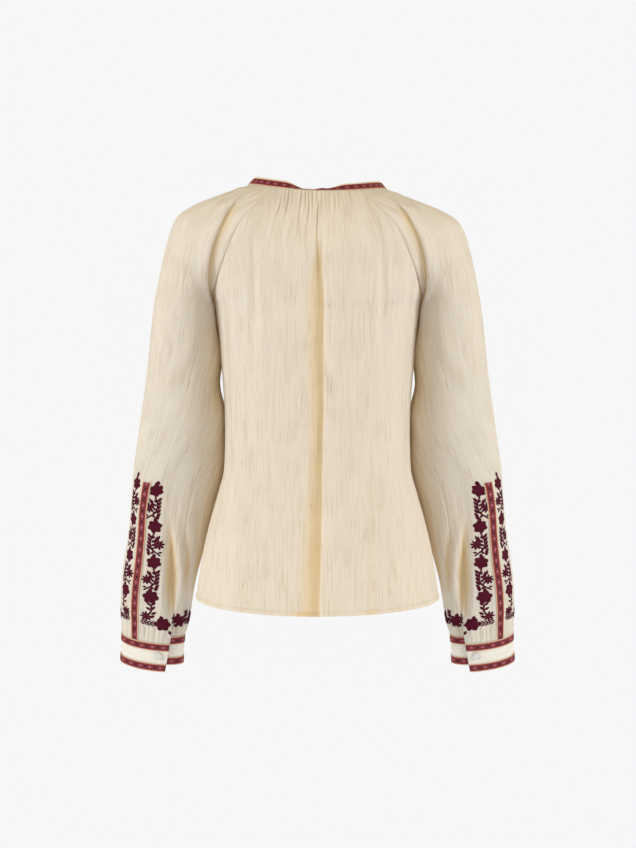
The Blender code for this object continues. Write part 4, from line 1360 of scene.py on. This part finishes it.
def sample(grid, row, column):
    """Values of a grid at fractional rows and columns, by straight lines both ways."""
    r = np.clip(np.floor(row).astype(int), 0, grid.shape[0] - 2)
    c = np.clip(np.floor(column).astype(int), 0, grid.shape[1] - 2)
    t = (row - r)[..., None]
    u = (column - c)[..., None]
    upper = grid[r, c] * (1 - u) + grid[r, c + 1] * u
    lower = grid[r + 1, c] * (1 - u) + grid[r + 1, c + 1] * u
    return upper * (1 - t) + lower * t


def on_sleeve(s, h):
    """Points and directions out, s mm round from the ribbon's middle and h mm above the cuff."""
    row = np.interp(-h, -above_cuff_rows, np.arange(len(above_cuff_rows)))
    place = RIBBON_MIDDLE + s / np.interp(row, np.arange(len(half_round)), half_round)
    place = (place + 1) % 2 - 1
    column = (place + 1) / 2 * (len(around) - 1)
    return sample(sleeve_outer, row, column), unit(sample(sleeve_out, row, column))


def pad_grids(pads):
    """Top and bottom points of pads: an outline w = sin(pi t^skew)^blunt, raised in a round."""
    s, h, turn, length, width, skew, blunt = (values[:, None, None] for values in np.array(pads, float).T)
    t = np.linspace(0.0, 1.0, PAD_STEPS)[None, :, None]
    u = np.linspace(-1.0, 1.0, PAD_SPANS)[None, None, :]
    bulge = np.maximum(np.sin(math.pi * np.clip(t, 0.02, 0.98) ** skew), 0.02) ** blunt
    sideways = u * bulge * width / 2
    angle = np.radians(turn)
    s_all = s + np.sin(angle) * t * length + np.cos(angle) * sideways
    h_all = h + np.cos(angle) * t * length - np.sin(angle) * sideways
    points, outs = on_sleeve(s_all, h_all)
    rise = PAD_RISE * np.minimum(width / FULL_WIDTH, 1.0) * (1 - u**2) ** 0.5 * bulge**0.5
    along = (t * length)[..., 0] + 0 * s[..., 0]
    return points + outs * rise[..., None], points - outs * PAD_SINK, along


print("half round the sleeve at the cuff:", round(float(half_round[-1])), "mm")

# %% Petals, leaves and stems
# A motif lies at s mm round from the ribbon's middle and h mm above the cuff, and turns from straight up.
LEAF_FULLNESS = 1.4
STEM_STITCH = 4.6
STEM_WIDTH = 2.8
STEM_OVERLAP = 0.72
SPRIG_PITCH = 3.8
SPRIG_WIDTH = 1.7
Corner = namedtuple("Corner", "s h")


def ring_of(count, s, h, inner, length, width, skew, blunt, turn=0.0):
    """Petals around a centre, which begin at a distance inner from it."""
    angles = [turn + 360.0 * k / count for k in range(count)]
    spots = [(math.sin(math.radians(a)), math.cos(math.radians(a)), a) for a in angles]
    return [Pad(s + x * inner, h + y * inner, a, length, width, skew, blunt) for x, y, a in spots]


def flower(s, h, size, turn=0.0):
    """Six broad petals round a solid middle, with one small petal that reaches up from them."""
    petals = ring_of(6, s, h, 0.04 * size, 0.92 * size, 0.78 * size, 1.25, 0.5, turn)
    petals += [Pad(s, h + 0.55 * size, turn / 2, 0.72 * size, 0.5 * size, 1.1, 0.6)]
    return petals + [Pad(s, h - 0.27 * size, 0, 0.54 * size, 0.54 * size, 1, 0.5)]


def daisy(s, h, size, turn=0.0):
    """Eight narrow petals and a small middle."""
    petals = ring_of(8, s, h, 0.12 * size, 0.95 * size, 0.46 * size, 1.2, 0.6, turn)
    return petals + [Pad(s, h - 0.2 * size, 0, 0.4 * size, 0.4 * size, 1, 0.5)]


def leaf(s, h, turn, length, width):
    """One pointed leaf."""
    return [Pad(s, h, turn, length, width * LEAF_FULLNESS, 0.9, 0.8)]


def stem(corners):
    """Stem stitches along a smooth line through some corners."""
    places = np.linspace(0, len(corners) - 1, 8 * len(corners))
    line = spread([Corner(*corner) for corner in corners], places)
    path = np.hstack([line.s, line.h])
    run = run_along(path)
    starts = np.arange(0, run[-1] - STEM_STITCH / 2, STEM_STITCH * STEM_OVERLAP)
    here = [np.interp(starts, run, path[:, axis]) for axis in range(2)]
    there = [np.interp(starts + STEM_STITCH, run, path[:, axis]) for axis in range(2)]
    turns = np.degrees(np.arctan2(there[0] - here[0], there[1] - here[1]))
    lengths = np.hypot(there[0] - here[0], there[1] - here[1])
    return [Pad(s, h, a, size, STEM_WIDTH, 1, 0.45) for s, h, a, size in zip(*here, turns, lengths)]


def sprig(s, h, turn, length):
    """A stem with pairs of small leaves."""
    made = [Pad(s, h, turn, length, SPRIG_WIDTH, 1, 0.4)]
    for k in range(int(length / SPRIG_PITCH) + 1):
        at_s = s + math.sin(math.radians(turn)) * k * SPRIG_PITCH
        at_h = h + math.cos(math.radians(turn)) * k * SPRIG_PITCH
        for way in (-1, 1):
            made += leaf(at_s, at_h, turn + way * 40, 6.8, SPRIG_WIDTH)
    return made


print("a flower has", len(flower(0, 0, 10)), "pads and a daisy", len(daisy(0, 0, 7)))

# %% Motifs on the sleeve
FLOWER_SIZE = 10.2
DAISY_SIZE = 7.2


def climbing_unit(middle, h, away, sway):
    """A flower and the stem, daisy and leaves under it. sway is the side to which the stem swings."""
    way = away * sway

    def at(aside, drop):
        """Place beside the middle line, on the side of the swing, and below the flower."""
        return middle + way * aside, h - drop

    made = flower(middle, h, FLOWER_SIZE, 12 * sway)
    made += stem([at(0, 9), at(4.8, 21), at(3.4, 32), at(-4.0, 38.5), at(-10.0, 42.5)])
    made += daisy(*at(-6.6, 26), DAISY_SIZE, 10)
    made += leaf(*at(-0.8, 26), way * -14, 13.0, 3.0) + leaf(*at(-4.5, 19.5), way * -20, 8.0, 2.4)
    for drop in (13, 18.5, 24, 29.5, 35):
        made += leaf(*at(3.6 + 0.03 * drop, drop + 4), way * 38, 8.4, 3.2)
        made += leaf(*at(3.0, drop + 5), way * -42, 5.4, 2.6)
    made += leaf(*at(3.0, 40), way * 75, 6.5, 2.7) + leaf(*at(5.0, 43), way * 30, 6.0, 2.6)
    made += leaf(*at(-6.0, 38), way * -75, 5.5, 2.4) + leaf(*at(0.5, 31), way * -70, 6.0, 2.3)
    return made


def foot_unit(middle, h, away):
    """The lowest flower of a column, with its leafy stem, and the daisy and the sprig under it."""
    made = flower(middle, h, FLOWER_SIZE + 0.8, 20)
    made += stem([(middle, h - 11), (middle + away * 2, h - 19), (middle - away * 1.5, h - 27)])
    for drop, turn in ((13, 50), (13, -55), (20, 42), (20, -60), (27, 60)):
        made += leaf(middle + away * 1.0, h - drop, away * turn, 7.6, 2.8)
    made += daisy(middle - away * 5.2, 40.0, DAISY_SIZE)
    made += sprig(middle - away * 12.5, 31.0, away * 96, 19.0)
    return made + leaf(middle - away * 1.0, 38.0, away * 60, 7.0, 3.0)


# The two columns beside the ribbon, from the cuff upwards: s of each flower, and the lowest one's height.
INNER_MIDDLES = (-20.5, -20.5, -18.8, -15.6)
OUTER_MIDDLE = 20.5
INNER_FOOT = 70.0
OUTER_FOOT = 72.5
INNER_RISE = 52.5
OUTER_RISE = 53.5
sleeve_pads = []
for k in range(1, len(INNER_MIDDLES)):
    sway = 1 if k % 2 else -1
    sleeve_pads += climbing_unit(INNER_MIDDLES[k], INNER_FOOT + INNER_RISE * k, -1, sway)
    sleeve_pads += climbing_unit(OUTER_MIDDLE, OUTER_FOOT + OUTER_RISE * k, 1, sway)
sleeve_pads += foot_unit(INNER_MIDDLES[0], INNER_FOOT, -1)
sleeve_pads += foot_unit(OUTER_MIDDLE, OUTER_FOOT, 1)

# %% The border above the cuff
# Small flowers stand beside the columns, and larger ones go on round the hidden side of the sleeve.
BORDER_RISE = 26.0
BORDER_STEP = 26.0
BORDER_BEGINS = -57.0
BORDER_FLOWERS = 6
BORDER_SIZE = 12.0
SMALL_SIZE = 10.4
SMALL_MIDDLES = (39.5, -34.5)
for s in SMALL_MIDDLES:
    sleeve_pads += flower(s, BORDER_RISE + 3.0, SMALL_SIZE, 25)
for k in range(BORDER_FLOWERS):
    s = BORDER_BEGINS - BORDER_STEP * k
    sleeve_pads += flower(s, BORDER_RISE, BORDER_SIZE, 25)
    sleeve_pads += leaf(s - 8.5, BORDER_RISE + 5.0, -50, 8.0, 3.2)
    sleeve_pads += leaf(s - 9.0, BORDER_RISE - 4.0, -115, 7.0, 3.0)
    if k + 1 < BORDER_FLOWERS:
        sleeve_pads += daisy(s - BORDER_STEP / 2, BORDER_RISE + 1.0, 4.6)
        sleeve_pads += sprig(s - BORDER_STEP / 2, BORDER_RISE + 6.5, 0, 8.0)

Leaf = namedtuple("Leaf", "s h turn length width")
SINGLE_LEAVES = [
    Leaf(47.5, 33.0, 50, 7.0, 3.0),
    Leaf(20.5, 243.0, 0, 9.0, 4.4),
    Leaf(-15.6, 234.0, 0, 8.0, 5.0),
    Leaf(-41.0, 19.5, 200, 7.0, 3.0),
    Leaf(-45.5, 30.0, -60, 8.0, 3.2),
    Leaf(-47.5, 34.0, -20, 7.0, 3.0),
    Leaf(-48.5, 22.0, 200, 8.0, 3.2),
    Leaf(-64.0, 31.0, -40, 8.0, 3.4),
    Leaf(-69.0, 37.0, -25, 8.0, 4.0),
]
for row in SINGLE_LEAVES:
    sleeve_pads += leaf(*row)
print("embroidery has", len(sleeve_pads), "pads on each sleeve")

top, bottom, along = pad_grids(sleeve_pads)
make_pads("embroidery_left", top, bottom, along, burgundy_thread, flip=True)
make_pads("embroidery_right", mirrored(top), mirrored(bottom), along, burgundy_thread)

# %% [markdown]
# Stitches and picots
#
# Ribbons are sewn down along their edges, which carry tiny cream loops, the picots. The hem has a row
# of small stitches, and so has each cuff beside its ribbons. All are short closed pads along a line, which
# catch the light as thread does and need far fewer faces than round tubes.

# %% Rows of stitches
STITCH_STEPS = 4
STITCH_SINK = 0.15
Stitch = namedtuple("Stitch", "pitch length width rise")
PICOT = Stitch(PICOT_PITCH, 1.4, 1.6, 0.7)
HEM_STITCH = Stitch(3.2, 2.4, 0.45, 0.25)
CUFF_STITCH = Stitch(3.6, 2.5, 0.45, 0.25)


def row_of_stitches(line, outs, stitch):
    """Pads along a line of points: each is straight, with ends pinched in, and raised in a round."""
    run = run_along(line)
    count = int(run[-1] / stitch.pitch)
    starts = (np.arange(count) + 0.5) * run[-1] / count - stitch.length / 2
    spots = starts[:, None] + np.linspace(0, stitch.length, STITCH_STEPS)[None, :]
    centre = np.stack([np.interp(spots, run, line[:, axis]) for axis in range(3)], -1)
    out = unit(np.stack([np.interp(spots, run, outs[:, axis]) for axis in range(3)], -1))
    way = unit(centre[:, -1:] - centre[:, :1])
    side = np.cross(out, way)
    pinch = np.sin(math.pi * np.linspace(0.12, 0.88, STITCH_STEPS)) ** 0.6
    u = np.linspace(-1, 1, 3)
    across = side[:, :, None] * (u[None, None, :] * pinch[None, :, None] * stitch.width / 2)[..., None]
    lift = (stitch.rise * pinch[:, None] * (1 - u**2) ** 0.5)[None, ..., None]
    top = centre[:, :, None] + across + out[:, :, None] * lift
    bottom = centre[:, :, None] + across - out[:, :, None] * STITCH_SINK
    return top, bottom, spots - starts[:, None]


def sew(name, lines, stitch, finish):
    """One mesh of stitches along several lines, each a pair of points and directions out."""
    grids = [row_of_stitches(line, outs, stitch) for line, outs in lines]
    top, bottom, along = (np.concatenate(parts) for parts in zip(*grids))
    make_pads(name, top, bottom, along, finish, flip=True)


def both_sides(line, outs):
    """A line and its mirror image, with the mirrored one run backwards."""
    return [(line, outs), (mirrored(line)[::-1], mirrored(outs)[::-1])]


# %% Picots along the ribbons
PICOT_LIFT = RIBBON_REST + 0.5
ribbon_outs = normals(ribbon_outer)
picot_lines = []
for edge in (0, -1):
    picot_lines += both_sides(ribbon_outer[:, edge], ribbon_outs[:, edge])
for depth in (CUFF_RIBBON_MARGIN, CUFF_HEIGHT - CUFF_RIBBON_MARGIN):
    picot_lines += both_sides(cuff_rows([depth], [PICOT_LIFT])[0], cuff_outs)
neck_line = band_points([BAND_RIBBON_FOOT], [PICOT_LIFT])[0][0, ::-1]
picot_lines.append((neck_line, unit(neck_line * np.array([1.0, 1.0, 0.0]))))
sew("picots", picot_lines, PICOT, picot_thread)

# %% Stitches of the hem and the cuffs
STITCH_LIFT = 0.1
STITCH_MARGIN = 1.6
below = down_rows(back_base)[:, 0]
hem_row = int(np.argmax(below > below[-1] - HEM_TURN))
hem_lines = []
for grid, base, side in ((back[0], back_base, 1), (front[0], front_base, -1)):
    hem_outs = normals(base)[hem_row] * side
    hem_lines.append((grid[hem_row] + hem_outs * STITCH_LIFT, hem_outs))
sew("hem_stitches", hem_lines, HEM_STITCH, cream_thread)

cuff_lines = []
stitch_depth = CUFF_RIBBON_MARGIN + CUFF_RIBBON_WIDTH + STITCH_MARGIN
for depth in (stitch_depth, CUFF_HEIGHT - stitch_depth):
    cuff_lines += both_sides(cuff_rows([depth], [STITCH_LIFT])[0], cuff_outs)
sew("cuff_stitches", cuff_lines, CUFF_STITCH, cream_thread)

# %% [markdown]
# Buttons
#
# Each cuff closes with one small pearly button, a turned disc with a rim and a dished middle. The packed
# model already has its real shape, so here it only gets a finish.

# %% The pearl finish
def pearl_finish():
    """Pale pearl: slow cloudy colour, smooth and glossy under a clear coat."""
    f = Finish("pearl")
    where = f.node("ShaderNodeTexCoord", {}, {}, 3)
    clouds = f.node("ShaderNodeTexNoise", {}, {"Vector": where, "Scale": 320.0, "Detail": 2.0})
    colour = f.mix(clouds.rise(0.35, 0.65), paint(0.56, 0.56, 0.53), paint(0.70, 0.70, 0.67))
    shader = f.node(
        "ShaderNodeBsdfPrincipled", {}, {"Base Color": colour, "Roughness": 0.22, "Coat Weight": 0.6}
    )
    return f.end(shader)


pearl = pearl_finish()
for side, _ in SIDES:
    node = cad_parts["cuff_button_" + side]
    node.data.materials.clear()
    node.data.materials.append(pearl)
    print(node.name, "is", round(max(node.dimensions) / MM, 1), "mm wide")

# %% [markdown]
# The flat cut of each panel is a trapezoid, widest at the hem.

# %% [markdown]
# Camera, light and backdrop
#
# The blouse is seen from behind, level with its middle, from three and a half metres away, in even
# studio light from both sides. The floor and the air behind it are the same pale white.

# %% Camera
LENS = 106.13
SENSOR = 36.0
CAMERA_PLACE = (-0.0007, 3.5, -0.332)
camera_data = bpy.data.cameras.new("camera")
camera_data.lens = LENS
camera_data.sensor_width = SENSOR
camera = bpy.data.objects.new("camera", camera_data)
camera.location = CAMERA_PLACE
camera.rotation_euler = (math.radians(90), 0.0, math.radians(180))
bpy.context.scene.collection.objects.link(camera)
bpy.context.scene.camera = camera
print("the camera is", CAMERA_PLACE[1], "m behind the blouse")


# %% Light
def add_light(name, place, aim, size, power, colour):
    """A square soft box at a place, turned towards an aim, with its power in watts."""
    data = bpy.data.lights.new(name, "AREA")
    data.size = size
    data.energy = power
    data.color = colour
    light = bpy.data.objects.new(name, data)
    start = np.array(place)
    way = np.array(aim) - start
    light.location = place
    flat = math.hypot(way[0], way[1])
    light.rotation_euler = (math.atan2(flat, -way[2]), 0.0, math.atan2(way[1], way[0]) - math.pi / 2)
    bpy.context.scene.collection.objects.link(light)


WHITE = (1.0, 0.99, 0.98)
PALE = paint(0.93, 0.93, 0.93)
WARM_FILL = paint(1.0, 0.88, 0.60)
FILL_STRENGTH = 0.64
add_light("left_box", (3.7, 1.7, 0.2), (0.05, 0.0, -0.35), 1.5, 88, WHITE)
add_light("right_box", (-3.7, 1.7, 0.2), (-0.05, 0.0, -0.35), 1.5, 83, WHITE)
add_light("top_box", (0.0, 1.6, 2.2), (0.0, 0.0, -0.2), 1.4, 6, WHITE)
add_light("front_box", (0.0, -3.4, 0.6), (0.0, 0.0, -0.3), 1.8, 66, WHITE)


def backdrop_finish():
    """Pale floor that gives off its own even light, so that it has no shading."""
    f = Finish("pale_floor")
    glow = f.node("ShaderNodeEmission", {}, {"Color": PALE, "Strength": 1.0})
    return f.end(glow)


def studio_world():
    """Pale air seen by the camera, and a dimmer warm fill for the cloth."""
    world = bpy.data.worlds.new("studio")
    world.use_nodes = True
    tree = world.node_tree
    tree.nodes.clear()
    seen = tree.nodes.new("ShaderNodeBackground")
    seen.inputs["Color"].default_value = PALE
    fill = tree.nodes.new("ShaderNodeBackground")
    fill.inputs["Color"].default_value = WARM_FILL
    fill.inputs["Strength"].default_value = FILL_STRENGTH
    path = tree.nodes.new("ShaderNodeLightPath")
    mix = tree.nodes.new("ShaderNodeMixShader")
    out = tree.nodes.new("ShaderNodeOutputWorld")
    tree.links.new(path.outputs["Is Camera Ray"], mix.inputs[0])
    tree.links.new(fill.outputs[0], mix.inputs[1])
    tree.links.new(seen.outputs[0], mix.inputs[2])
    tree.links.new(mix.outputs[0], out.inputs["Surface"])
    bpy.context.scene.world = world


studio_world()
bpy.context.scene.view_settings.view_transform = "Standard"
print("lights:", len(bpy.data.lights))

# %% Floor
FLOOR_HEIGHT = -1.4
FLOOR_RADIUS = 8.0
FLOOR_SIDES = 64
turn = np.arange(FLOOR_SIDES) * math.tau / FLOOR_SIDES
floor_mesh = bpy.data.meshes.new("floor")
floor_points = stack(FLOOR_RADIUS * np.cos(turn), FLOOR_RADIUS * np.sin(turn), FLOOR_HEIGHT)
floor_mesh.from_pydata(floor_points.tolist(), [], [list(range(FLOOR_SIDES))])
floor_mesh.materials.append(backdrop_finish())
floor = bpy.data.objects.new("floor", floor_mesh)
bpy.context.scene.collection.objects.link(floor)
floor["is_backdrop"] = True
print("the floor lies", FLOOR_HEIGHT, "m from the neck seam")

# %% Sizes, and the end
boxes = {"cad": cad_box, "visual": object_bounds()}
{name: [list(corner) for corner in box] for name, box in boxes.items()}
